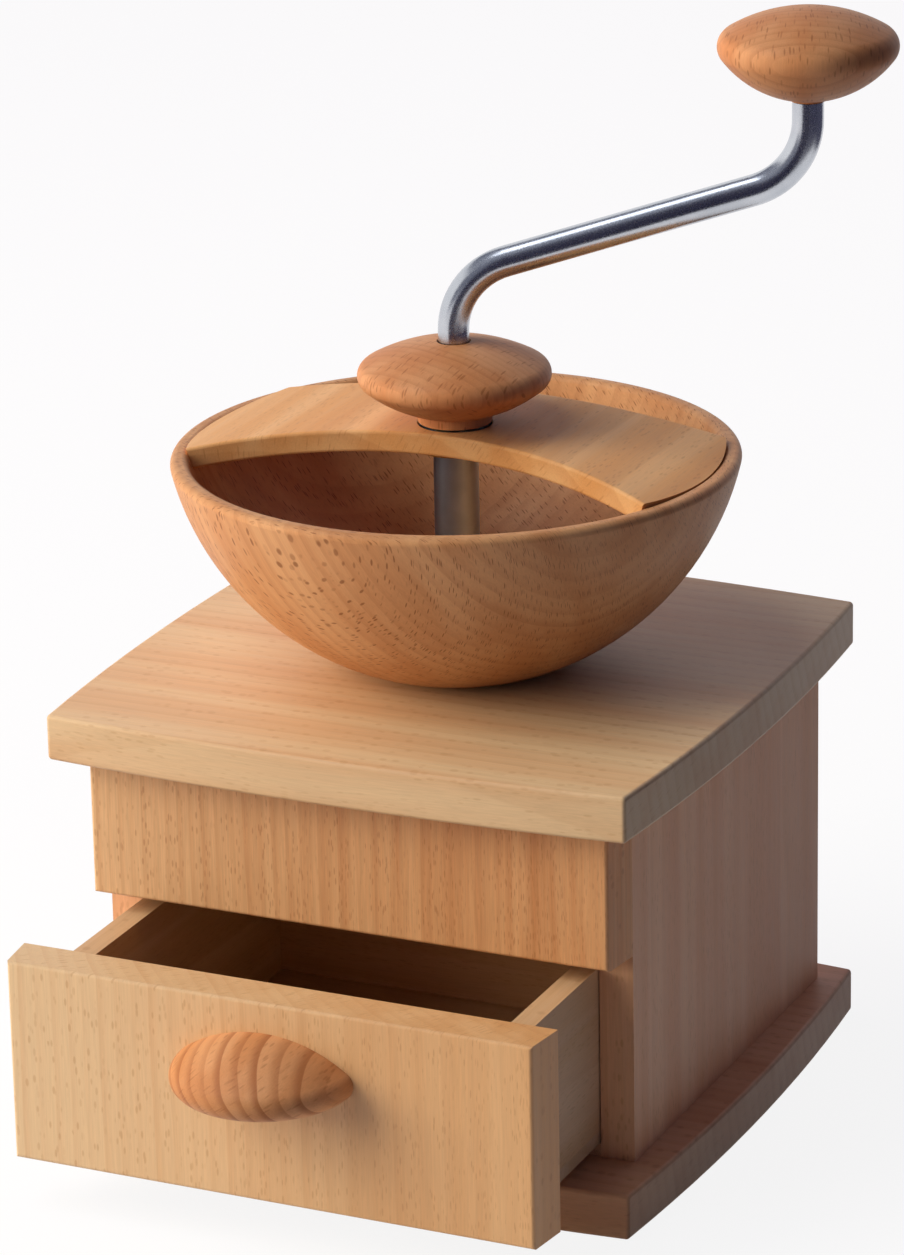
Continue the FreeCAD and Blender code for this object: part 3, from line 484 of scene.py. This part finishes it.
    def shade(self, tree: NodeTree, coord: Node, hair: NodeSocket, sawn: Sawn) -> NodeSocket:
        """Work out how light or dark the finest fibres and the end grain are.

        Args:
            tree: Node tree of the material.
            coord: Texture coordinate node.
            hair: Pattern of the finest fibres.
            sawn: How the piece was cut from its log.

        Returns:
            Socket with the brightness, about one.
        """
        fibres = spread(tree, hair, FIBRE_BAND, (1 - self.hair_depth, 1 + self.hair_depth))
        along = add(tree, "VectorMath", {
            0: coord.outputs["Normal"], 1: sawn.fibre.direction(),
        }, operation="DOT_PRODUCT").outputs["Value"]
        ends = spread(tree, maths(tree, "ABSOLUTE", along), END_GRAIN, (1.0, self.end_shade))
        return maths(tree, "MULTIPLY", fibres, ends)


@dataclass(frozen=True)
class Metal:
    """A bare metal with the fine marks of how it was made.

    Attributes:
        name: Common name of the metal and its finish.
        colour: Colour at normal view.
        dull: Colour in the faint stains.
        smooth: Roughness of the brightest places.
        rough: Roughness of the dullest places.
        mark_mm: Size of the marks along X, Y and Z.
        depth_mm: Depth of the marks.
        relief: Strength of the marks' relief.
        stain_mm: Size of the stains.
    """

    name: str
    colour: str
    dull: str
    smooth: float
    rough: float
    mark_mm: Triple
    depth_mm: float
    relief: float = 0.25
    stain_mm: float = 14.0

    def material(self) -> Material:
        """Make the material.

        Returns:
            The metal with its marks, faint stains and uneven gloss.
        """
        material, tree = new_material(self.name)
        coord = add(tree, "TexCoord").outputs["Object"]
        marks = noise(tree, stretch(tree, coord, self.mark_mm), detail=3.0).outputs["Fac"]
        stain = noise(tree, coord, detail=3.0, size=self.stain_mm * MM).outputs["Fac"]
        stain = spread(tree, stain, STAIN_BAND)
        colour = blend(tree, stain, linear(self.colour), linear(self.dull))
        gloss = spread(tree, marks, FIBRE_BAND, (self.smooth, self.rough))
        bump = add(tree, "Bump", {"Strength": self.relief, "Distance": self.depth_mm * MM, "Height": marks})
        close(tree, "BsdfPrincipled", {
            "Base Color": colour, "Metallic": 1.0, "Roughness": gloss, "Normal": bump.outputs[0],
        })
        return material


@dataclass(frozen=True)
class DressedStone:
    """Bonded corundum millstone, dressed with a pick, which gives the eye a chalky grey full of sharp grit.

    Attributes:
        pale: Colour of the bond.
        grit: Colour of the grit.
        grit_mm: Size of a grain of the grit.
        cloud_mm: Size of the patches where the grit is denser.
        depth_mm: Depth of the pores between the grains.
        relief: Strength of that relief.
        rough: Roughness of the dry stone.
    """

    pale: str = "#B9B3A8"
    grit: str = "#7E776C"
    grit_mm: float = 0.9
    cloud_mm: float = 9.0
    depth_mm: float = 0.25
    relief: float = 0.6
    rough: float = 0.9

    def material(self) -> Material:
        """Make the material.

        Returns:
            The stone with grit in its colour and its relief.
        """
        material, tree = new_material("dressed_millstone")
        coord = add(tree, "TexCoord").outputs["Object"]
        cells = add(tree, "TexVoronoi", {"Vector": coord, "Scale": 1 / (self.grit_mm * MM)}).outputs
        cloud = noise(tree, coord, detail=4.0, size=self.cloud_mm * MM).outputs["Fac"]
        grain = add(tree, "SeparateColor", {0: cells["Color"]}).outputs[0]
        colour = blend(tree, maths(tree, "MULTIPLY", grain, cloud), linear(self.pale), linear(self.grit))
        bump = add(tree, "Bump", {
            "Strength": self.relief, "Distance": self.depth_mm * MM, "Height": cells["Distance"],
        })
        close(tree, "BsdfPrincipled", {
            "Base Color": colour, "Roughness": self.rough, "Normal": bump.outputs[0],
        })
        return material


# The top plate: pale outer wood, planed, a quiet straw colour with broad soft rings and few rays.
PLATE_BEECH = OiledBeech(
    pale="#DEC094", warm="#D8B184", late="#C0905E", ray="#AF7D4C", ring_mm=6.0, ring_depth=0.30, ray_depth=0.22,
    streak_mm=20.0, end_shade=0.72, oil=0.4,
)
# The base plate: the top plate's cut made redder and darker, and browner still where its end grain has drunk the
# oil.
BASE_BEECH = OiledBeech(
    pale="#DDAE84", warm="#D29E74", late="#BA845A", ray="#9E6A44", ring_mm=6.0, ring_depth=0.30, ray_depth=0.25,
    streak_mm=20.0, end_shade=0.62, oil=0.2,
)
# The panels and runners: plain pinkish boards with a faint upright figure.
BOARD_BEECH = OiledBeech(
    pale="#E9BA8E", warm="#DFA97D", late="#C98F60", ray="#B07A4C", ring_depth=0.25, ray_depth=0.30,
)
# The drawer front: golden, with painted light that makes its lit left side paler.
FRONT_BEECH = OiledBeech(
    pale="#DFB17C", warm="#D6A26B", late="#C48A58", ray="#A9713F", ring_depth=0.25, ray_depth=0.32,
    end_shade=0.95, oil=0.4, lit_side_tint="#E0C498", lit_side_mm=(200.0, 330.0),
)
# The rail: a warmer board with narrow rings, which show as fine upright stripes, and painted light that makes its
# lit left side paler.
RAIL_BEECH = OiledBeech(
    pale="#DEA975", warm="#D19561", late="#BD7C4A", ray="#A06236", ring_mm=2.6, ring_depth=0.35, ray_depth=0.38,
    streak_mm=4.0, ray_mm=(6.0, 0.7, 4.0), hair_depth=0.08, lit_side_tint="#E3BC8B", lit_side_mm=(195.0, 275.0),
)
# The drawer's box: thin boards with hardly any oil, greyer and duller than the front.
BOX_BEECH = OiledBeech(
    pale="#D8B892", warm="#CEAA80", late="#BC9166", ray="#A57A50", ring_depth=0.25, ray_depth=0.25, oil=0.15,
)
# The bowl: turned from one block, orange brown, with dark short dashes all over its curve.
BOWL_BEECH = OiledBeech(
    pale="#D9A471", warm="#CE9461", late="#B07345", ray="#7E4722", ring_mm=5.0, ring_depth=0.35, ray_depth=0.70,
    ray_mm=(3.4, 0.5, 4.8),
)
# The bridge: a light board with wide, slow rings and little gloss.
BRIDGE_BEECH = OiledBeech(
    pale="#E4B37A", warm="#DBA164", late="#C4864E", ray="#A2693A", ring_mm=12.0, ring_depth=0.40, ray_depth=0.30,
    oil=0.15,
)
# The two knobs: turned, reddish, with thin rings that bend over the crown and clear dashes.
KNOB_BEECH = OiledBeech(
    pale="#D69B6A", warm="#CC8A58", late="#A8683F", ray="#8A5029", ring_mm=3.0, ring_depth=0.34, ray_depth=0.52,
    oil=0.2,
)
# The pull: turned across strong rings, which show as dark arcs like those of a shell.
PULL_BEECH = OiledBeech(
    pale="#D79F6E", warm="#CC8D5A", late="#9C5C34", ray="#8A5029", ring_mm=4.4, ring_depth=0.75, ray_depth=0.30,
    oil=0.2,
)
# Round rod, drawn and polished: a cool mirror, slightly blurred. Its marks are drawn coarse enough to show.
STEEL = Metal("drawn_steel", "#C9CCD3", "#BBBFC7", 0.20, 0.29, (0.4, 0.4, 0.4), 0.002)
# Steel with a blue-passivated zinc coat: a dull grey with cloudy patches, its bluish tint partly the coat's own and
# partly a painted cool reflection that offsets the brown wood the spindle mirrors.
ZINC = Metal("zinc_plated_steel", "#AEC3D6", "#98AEC2", 0.36, 0.48, (0.8, 0.8, 0.8), 0.004)
# Brass off the lathe: a warm yellow with the rings of the tool, drawn coarse enough to show.
BRASS = Metal("turned_brass", "#D2AE68", "#B68F4C", 0.22, 0.36, (4.0, 4.0, 0.25), 0.01)
# Iron with the skin of its sand mould: dark, matt and grainy.
IRON = Metal("sand_cast_iron", "#5A5B5D", "#47484A", 0.50, 0.70, (0.8, 0.8, 0.8), 0.10)


def dress_wood(beech: OiledBeech, pieces: dict[str, Sawn]) -> None:
    """Give each wooden node its own cut of the same beech.

    Args:
        beech: The wood.
        pieces: Cut of each node.
    """
    for node, sawn in pieces.items():
        wear(node, beech.material(node, sawn))


@dataclass
class Case:
    """The plates, panels, rail and runners.

    Attributes:
        top: Cut of the top plate.
        base: Cut of the base plate.
        boards: Cuts of the panels and runners.
        rail: Cut of the rail over the drawer.
    """

    top: Sawn = Sawn(Fibre.ACROSS, (0, 210, 80))
    base: Sawn = Sawn(Fibre.ACROSS, (0, 230, 60))
    boards: dict[str, Sawn] = field(default_factory=lambda: {
        "left_side_panel": Sawn(Fibre.UPRIGHT, (210, 60, 0)),
        "right_side_panel": Sawn(Fibre.UPRIGHT, (-220, 70, 0)),
        "back_panel": Sawn(Fibre.UPRIGHT, (60, -210, 0)),
        "left_runner": Sawn(Fibre.BACKWARDS, (80, 0, 160)),
        "right_runner": Sawn(Fibre.BACKWARDS, (-80, 0, 160)),
    })
    rail: Sawn = Sawn(Fibre.UPRIGHT, (90, 190, 0))

    def dress(self) -> None:
        """Dress the plates, the boards and the rail."""
        dress_wood(PLATE_BEECH, {"top_plate": self.top})
        dress_wood(BASE_BEECH, {"base_plate": self.base})
        dress_wood(BOARD_BEECH, self.boards)
        dress_wood(RAIL_BEECH, {"front_rail": self.rail})


@dataclass
class PanScrew:
    """A zinc-plated wood screw with a pan head and a cross recess.

    Attributes:
        head_mm: Radius and height of the head.
        shank_mm: Radius and length of the shank with its point.
        point_mm: Length of the point.
        tip_share: Radius of the blunt tip, as a share of the shank's.
        dome_share: Part of the head's height that is rounded.
        dome_steps: Faces over the rounding.
        sides: Faces round the head.
        recess_mm: Length, width and depth of one arm of the cross.
        smooth_below: Angle in degrees below which an edge looks round.
        level: How upright the normal of a level face has to be.
        slack_mm: How far from a height a face at that height may lie.
    """

    head_mm: Pair = (4.0, 2.4)
    shank_mm: Pair = (2.0, 23.4)
    point_mm: float = 4.0
    tip_share: float = 0.15
    dome_share: float = 0.6
    dome_steps: int = 6
    sides: int = 48
    recess_mm: Triple = (4.4, 0.9, 1.2)
    smooth_below: float = 40.0
    level: float = 0.9
    slack_mm: float = 0.05

    def pick_faces(self, piece: Object, height_mm: float) -> None:
        """Select the level faces of a piece at one height, and enter edit mode.

        Args:
            piece: The piece, which is active.
            height_mm: Height of the faces.
        """
        bpy.ops.object.mode_set(mode="EDIT")
        bpy.ops.mesh.select_mode(type="FACE")
        bpy.ops.mesh.select_all(action="DESELECT")
        bpy.ops.object.mode_set(mode="OBJECT")
        for face in piece.data.polygons:
            off = abs(face.center.z - height_mm * MM)
            face.select = abs(face.normal.z) > self.level and off < self.slack_mm * MM
        bpy.ops.object.mode_set(mode="EDIT")

    def build(self, name: str) -> Object:
        """Model the screw upright, with the underside of its head at the origin.

        Args:
            name: Name of the new piece.

        Returns:
            The screw.
        """
        radius, height = (size * MM for size in self.head_mm)
        shank_radius, shank_length = (size * MM for size in self.shank_mm)
        point = self.point_mm * MM
        bpy.ops.object.select_all(action="DESELECT")
        bpy.ops.mesh.primitive_cylinder_add(
            vertices=self.sides, radius=radius, depth=height, location=(0, 0, height / 2),
        )
        piece = bpy.context.object
        piece.name = name
        bpy.ops.object.transform_apply(location=True, rotation=True, scale=True)
        self.pick_faces(piece, self.head_mm[1])
        bpy.ops.mesh.bevel(
            offset=self.dome_share * height, segments=self.dome_steps, profile=0.5, affect="EDGES",
        )
        bpy.ops.object.mode_set(mode="OBJECT")
        self.pick_faces(piece, 0.0)
        bpy.ops.mesh.inset(thickness=radius - shank_radius)
        for length in (shank_length - point, point):
            bpy.ops.mesh.extrude_region_move(TRANSFORM_OT_translate={"value": (0, 0, -length)})
        bpy.ops.transform.resize(value=(self.tip_share, self.tip_share, 1.0))
        bpy.ops.object.mode_set(mode="OBJECT")
        for turn in (0.0, math.pi / 2):
            self.cut_arm(piece, turn)
        bpy.ops.object.shade_smooth_by_angle(angle=math.radians(self.smooth_below))
        return piece

    def cut_arm(self, piece: Object, turn: float) -> None:
        """Cut one arm of the cross recess into the head.

        Args:
            piece: The screw.
            turn: Direction of the arm.
        """
        length, width, depth = (size * MM for size in self.recess_mm)
        bpy.ops.object.select_all(action="DESELECT")
        bpy.ops.mesh.primitive_cube_add(
            size=1.0, location=(0, 0, self.head_mm[1] * MM), rotation=(0, 0, turn), scale=(length, width, 2 * depth),
        )
        cutter = bpy.context.object
        bpy.ops.object.transform_apply(location=True, rotation=True, scale=True)
        select_only(piece)
        cut = piece.modifiers.new("recess", "BOOLEAN")
        cut.operation = "DIFFERENCE"
        cut.solver = "EXACT"
        cut.object = cutter
        bpy.ops.object.modifier_apply(modifier=cut.name)
        bpy.data.objects.remove(cutter)


@dataclass
class Drawer:
    """The meal drawer with its front, its box and its pull.

    Attributes:
        front: Cut of the front.
        pull: Cut of the pull.
        screw: Screw that holds the pull.
        screw_turns: Turn of each screw's cross, in degrees.
        box: Cuts of the box's boards.
    """

    front: Sawn = Sawn(Fibre.UPRIGHT, (170, 180, 0))
    pull: Sawn = Sawn(Fibre.BACKWARDS, (-45, 0, -36))
    screw: PanScrew = field(default_factory=PanScrew)
    screw_turns: Pair = (17.0, 64.0)
    box: dict[str, Sawn] = field(default_factory=lambda: {
        "drawer_left_side": Sawn(Fibre.BACKWARDS, (190, 0, 60)),
        "drawer_right_side": Sawn(Fibre.BACKWARDS, (-190, 0, 60)),
        "drawer_back": Sawn(Fibre.ACROSS, (0, -190, 60)),
        "drawer_bottom": Sawn(Fibre.ACROSS, (0, 60, 200)),
    })

    def dress(self, zinc: Material) -> None:
        """Dress the wood and drive the screws of the pull.

        Args:
            zinc: Material of the screws.
        """
        dress_wood(FRONT_BEECH, {"drawer_front": self.front})
        dress_wood(BOX_BEECH, self.box)
        dress_wood(PULL_BEECH, {"drawer_pull": self.pull})
        self.drive_screws(zinc)

    def drive_screws(self, zinc: Material) -> None:
        """Drive the two screws from inside the drawer, each with its own turn of the cross.

        Args:
            zinc: Material of the screws.
        """
        model = self.screw.build("pull_pan_screw_1")
        model.data.materials.append(zinc)
        twin = bpy.data.objects.new("pull_pan_screw_2", model.data.copy())
        bpy.context.scene.collection.objects.link(twin)
        for index, (piece, turn) in enumerate(zip((model, twin), self.screw_turns), start=1):
            node = f"pull_screw_{index}"
            low, high = (Vector(corner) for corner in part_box(node))
            seat = Vector(((low.x + high.x) / 2, high.y - self.screw.head_mm[1] * MM, (low.z + high.z) / 2))
            select_only(piece)
            piece.location = seat
            piece.rotation_euler = (-math.pi / 2, math.radians(turn), 0.0)
            bpy.ops.object.transform_apply(location=True, rotation=True, scale=True)
            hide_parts(node)
            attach(piece, "drawer")
            LOG.info("drove %s", piece.name)


@dataclass
class Hopper:
    """The bowl and the bridge that spans it.

    Attributes:
        bowl: Cut of the bowl.
        bridge: Cut of the bridge.
        plated: Nut and screws.
    """

    bowl: Sawn = Sawn(Fibre.LEANING, (175, -110, 0))
    bridge: Sawn = Sawn(Fibre.BACKWARDS, (-60, 0, -120))
    plated: tuple[str, ...] = ("bridge_nut", "bowl_screw_1", "bowl_screw_2", "bowl_screw_3")

    def dress(self, zinc: Material, brass: Material) -> None:
        """Dress the bowl, the bridge, its bush and the screws.

        Args:
            zinc: Material of the nut and the screws.
            brass: Material of the bush.
        """
        dress_wood(BOWL_BEECH, {"hopper_bowl": self.bowl})
        dress_wood(BRIDGE_BEECH, {"bridge_board": self.bridge})
        wear("bridge_bush", brass)
        for node in self.plated:
            wear(node, zinc)


@dataclass
class GrindGear:
    """The stones, their holder, the spider and the spindle.

    Attributes:
        stones: The two millstones.
        plated: Spindle, holder, carrier and small fittings.
    """

    stones: tuple[str, ...] = ("fixed_stone", "runner_stone")
    plated: tuple[str, ...] = (
        "spindle", "spindle_collar", "collar_pin", "runner_carrier", "runner_nut", "stone_holder",
        "holder_screw_1", "holder_screw_2", "holder_screw_3", "thrust_washer",
    )

    def dress(self, zinc: Material, brass: Material) -> None:
        """Dress stone, steel, brass and iron.

        Args:
            zinc: Material of the plated steel.
            brass: Material of the guide bush.
        """
        stone = DressedStone().material()
        for node in self.stones:
            wear(node, stone)
        for node in self.plated:
            wear(node, zinc)
        wear("guide_bush", brass)
        wear("eye_spider", IRON.material())


@dataclass
class Crank:
    """The adjusting knob, the bent bar and the grip.

    Attributes:
        adjuster: Cut of the adjusting knob.
        grip: Cut of the grip.
        bright: Polished steel pieces.
    """

    adjuster: Sawn = Sawn(Fibre.UPRIGHT, (40, 110, 0))
    grip: Sawn = Sawn(Fibre.UPRIGHT, (-40, 120, 0))
    bright: tuple[str, ...] = ("crank_bar", "adjuster_cup", "grip_clip")

    def dress(self, steel: Material, brass: Material) -> None:
        """Dress the knobs, the bar and the small fittings.

        Args:
            steel: Material of the bar, the cup and the clip.
            brass: Material of the grip's sleeve.
        """
        dress_wood(KNOB_BEECH, {"adjuster_knob": self.adjuster, "crank_grip": self.grip})
        for node in self.bright:
            wear(node, steel)
        wear("grip_sleeve", brass)


@dataclass(frozen=True)
class Lamp:
    """A soft square lamp.

    Attributes:
        name: Name of the lamp.
        place: Where it hangs.
        side: Side of its square.
        power: Power in watts.
        colour: Colour of its light.
        mirrored: Whether it shows as a highlight.
    """

    name: str
    place: Triple
    side: float
    power: float
    colour: str
    mirrored: bool

    def hang(self, target: Vector) -> None:
        """Hang the lamp so that it looks at the mill.

        Args:
            target: Place that it looks at.
        """
        lamp = bpy.data.lights.new(self.name, "AREA")
        lamp.shape = "SQUARE"
        lamp.size = self.side
        lamp.energy = self.power
        lamp.color = linear(self.colour)[:3]
        holder = bpy.data.objects.new(self.name, lamp)
        holder.location = self.place
        holder.rotation_euler = (target - Vector(self.place)).to_track_quat("-Z", "Y").to_euler()
        holder.visible_glossy = self.mirrored
        bpy.context.scene.collection.objects.link(holder)


@dataclass(frozen=True)
class Card:
    """An upright card that faces the mill.

    Attributes:
        bearing: Direction of the card from the axle, in degrees from the front to the right.
        reach: Distance from the axle.
        width: Width of the card.
        low: Height of its lower edge.
        high: Height of its upper edge.
    """

    bearing: float
    reach: float = 0.62
    width: float = 0.62
    low: float = 0.0
    high: float = 2.2

    def stand(self) -> tuple[Triple, Triple, Triple]:
        """Work out how the card stands.

        Returns:
            Its place, its turn and the scale of a square of one metre.
        """
        turn = math.radians(self.bearing)
        place = (self.reach * math.sin(turn), -self.reach * math.cos(turn), (self.low + self.high) / 2)
        return place, (math.pi / 2, 0.0, turn), (self.width, self.high - self.low, 1.0)


@dataclass
class Studio:
    """A pale floor, soft lamps from the left, cards and a camera at the picture's angle.

    Attributes:
        eye: Place of the camera.
        yaw: Camera turned to the right of the front, in degrees.
        pitch: Camera above the level, in degrees.
        roll: Camera turned about its view, in degrees.
        lens: Focal length in millimetres.
        sensor: Height of the sensor in millimetres.
        sight: Distance that the camera sees.
        target: Place that the lamps look at.
        lamps: The lamps. The key light is shared by two, so that only part of it shows as a highlight.
        shade_cards: Dark cards before the mill and on its right, which shade it and show in the steel.
        ceiling_side: Side of the dark card overhead.
        ceiling_height: Height of the dark card overhead.
        mirror_cards: Grey cards on the left, which glow with a painted grey light instead of being lit, and only
            show in the steel.
        dark: Colour of the dark cards.
        grey: Colour of the grey cards' painted glow.
        air: Colour of the light from all round.
        air_strength: Strength of that light.
        floor_side: Side of the floor.
        floor: Colour of the floor as the mill sees it.
        floor_glow: Share of plain white in the floor as the camera sees it; the rest takes the mill's shadow.
    """

    eye: Triple = (0.7153, -1.5496, 0.7549)
    yaw: float = 24.858
    pitch: float = 19.258
    roll: float = -1.132
    lens: float = 159.02
    sensor: float = 36.0
    sight: float = 50.0
    target: Triple = (0.0, 0.0, 0.17)
    lamps: tuple[Lamp, ...] = (
        Lamp("key_lamp", (-1.75, -1.25, 1.1), 1.8, 52.0, "#FFF3DC", False),
        Lamp("sheen_lamp", (-1.75, -1.25, 1.1), 1.8, 22.0, "#FFF3DC", True),
        Lamp("top_lamp", (-0.8, -0.5, 1.9), 1.2, 14.0, "#F6FAFF", True),
    )
    shade_cards: tuple[Card, ...] = (Card(12.6), Card(64.6), Card(116.6))
    ceiling_side: float = 3.0
    ceiling_height: float = 2.4
    mirror_cards: tuple[Card, ...] = (Card(-24.0, 0.62, 0.42, 0.25, 2.2), Card(-80.0, 0.9, 2.2, 0.86, 2.3))
    dark: str = "#4E5266"
    grey: str = "#747888"
    air: str = "#EACDF8"
    air_strength: float = 0.48
    floor_side: float = 14.0
    floor: str = "#D2D2DA"
    floor_glow: float = 0.88

    def set_camera(self) -> None:
        """Place the camera."""
        yaw, pitch, roll = (math.radians(angle) for angle in (self.yaw, self.pitch, self.roll))
        back = Vector((math.sin(yaw) * math.cos(pitch), -math.cos(yaw) * math.cos(pitch), math.sin(pitch)))
        right = Vector((math.cos(yaw), math.sin(yaw), 0.0))
        up = back.cross(right)
        across = right * math.cos(roll) + up * math.sin(roll)
        above = up * math.cos(roll) - right * math.sin(roll)
        camera = bpy.data.cameras.new("studio_camera")
        camera.sensor_fit = "VERTICAL"
        camera.sensor_height = self.sensor
        camera.lens = self.lens
        camera.clip_end = self.sight
        holder = bpy.data.objects.new("studio_camera", camera)
        turn = Matrix((across, above, back)).transposed().to_4x4()
        holder.matrix_world = Matrix.Translation(self.eye) @ turn
        bpy.context.scene.collection.objects.link(holder)
        bpy.context.scene.camera = holder

    def seen(self, tree: NodeTree) -> NodeSocket:
        """Tell the rays that look at the background from those that carry light to the mill.

        Args:
            tree: Node tree of the world or of the floor.

        Returns:
            Socket that is one for camera, glossy and transmission rays.
        """
        path = add(tree, "LightPath").outputs
        total = path["Is Camera Ray"]
        for name in ("Is Glossy Ray", "Is Transmission Ray"):
            total = maths(tree, "MAXIMUM", total, path[name])
        return total

    def set_world(self) -> None:
        """Show white behind the mill, and light it softly from all round."""
        world = bpy.data.worlds.new("pale_room")
        world.use_nodes = True
        tree = world.node_tree
        tree.nodes.clear()
        soft = add(tree, "Background", {"Color": linear(self.air), "Strength": self.air_strength})
        white = add(tree, "Background", {"Color": linear(WHITE), "Strength": 1.0})
        mix = add(tree, "MixShader", {0: self.seen(tree), 1: soft.outputs[0], 2: white.outputs[0]})
        add(tree, "OutputWorld", {"Surface": mix.outputs[0]})
        bpy.context.scene.world = world

    def set_floor(self) -> None:
        """Lay the floor, nearly white to the camera but still taking the mill's shadow."""
        bpy.ops.object.select_all(action="DESELECT")
        bpy.ops.mesh.primitive_plane_add(size=self.floor_side, location=(0.0, 0.0, 0.0))
        floor = bpy.context.object
        floor.name = "studio_floor"
        # Pale matt paper: an even white that only the shadow marks.
        material, tree = new_material("pale_paper")
        seen = self.seen(tree)
        paper = add(tree, "BsdfDiffuse", {"Color": blend(tree, seen, linear(self.floor), linear(WHITE))})
        glow = add(tree, "Emission", {"Color": linear(WHITE), "Strength": 1.0})
        share = maths(tree, "MULTIPLY", seen, self.floor_glow)
        close(tree, "MixShader", {0: share, 1: paper.outputs[0], 2: glow.outputs[0]})
        floor.data.materials.append(material)

    def card_paper(self, name: str, shader: str, code: str) -> Material:
        """Make the paper of a card: matt with a diffuse shader, a painted glow with an emission shader.

        Args:
            name: Name of the paper.
            shader: Shader node without its prefix.
            code: Colour of the paper.

        Returns:
            The paper.
        """
        paper, tree = new_material(name)
        close(tree, shader, {"Color": linear(code)})
        return paper

    def set_cards(self) -> None:
        """Set the dark cards round the mill and overhead, and the grey ones that glow with painted light and only
        show in the steel.
        """
        dark = self.card_paper("dark_card", "BsdfDiffuse", self.dark)
        # The grey cards glow with painted light instead of being lit.
        grey = self.card_paper("glowing_grey_card", "Emission", self.grey)
        overhead = ((0.0, 0.0, self.ceiling_height), (0.0, 0.0, 0.0), (self.ceiling_side, self.ceiling_side, 1.0))
        shading = [card.stand() for card in self.shade_cards] + [overhead]
        mirrored = [card.stand() for card in self.mirror_cards]
        for index, (place, turn, size) in enumerate(shading + mirrored, start=1):
            shades = index <= len(shading)
            bpy.ops.object.select_all(action="DESELECT")
            bpy.ops.mesh.primitive_plane_add(size=1.0, location=place, rotation=turn)
            sheet = bpy.context.object
            sheet.name = f"studio_card_{index}"
            sheet.scale = size
            sheet.visible_camera = False
            sheet.visible_diffuse = sheet.visible_shadow = shades
            sheet.data.materials.append(dark if shades else grey)

    def build(self) -> None:
        """Set floor, cards, lamps, world and camera."""
        self.set_floor()
        self.set_cards()
        for lamp in self.lamps:
            lamp.hang(Vector(self.target))
        self.set_world()
        self.set_camera()
        bpy.context.scene.view_settings.view_transform = "Standard"


def main() -> None:
    """Dress every sub-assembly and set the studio."""
    logging.basicConfig(level=logging.INFO, format="%(name)s: %(message)s")
    steel, zinc, brass = STEEL.material(), ZINC.material(), BRASS.material()
    Case().dress()
    Drawer().dress(zinc)
    Hopper().dress(zinc, brass)
    GrindGear().dress(zinc, brass)
    Crank().dress(steel, brass)
    Studio().build()


if __name__ == "__main__":
    main()
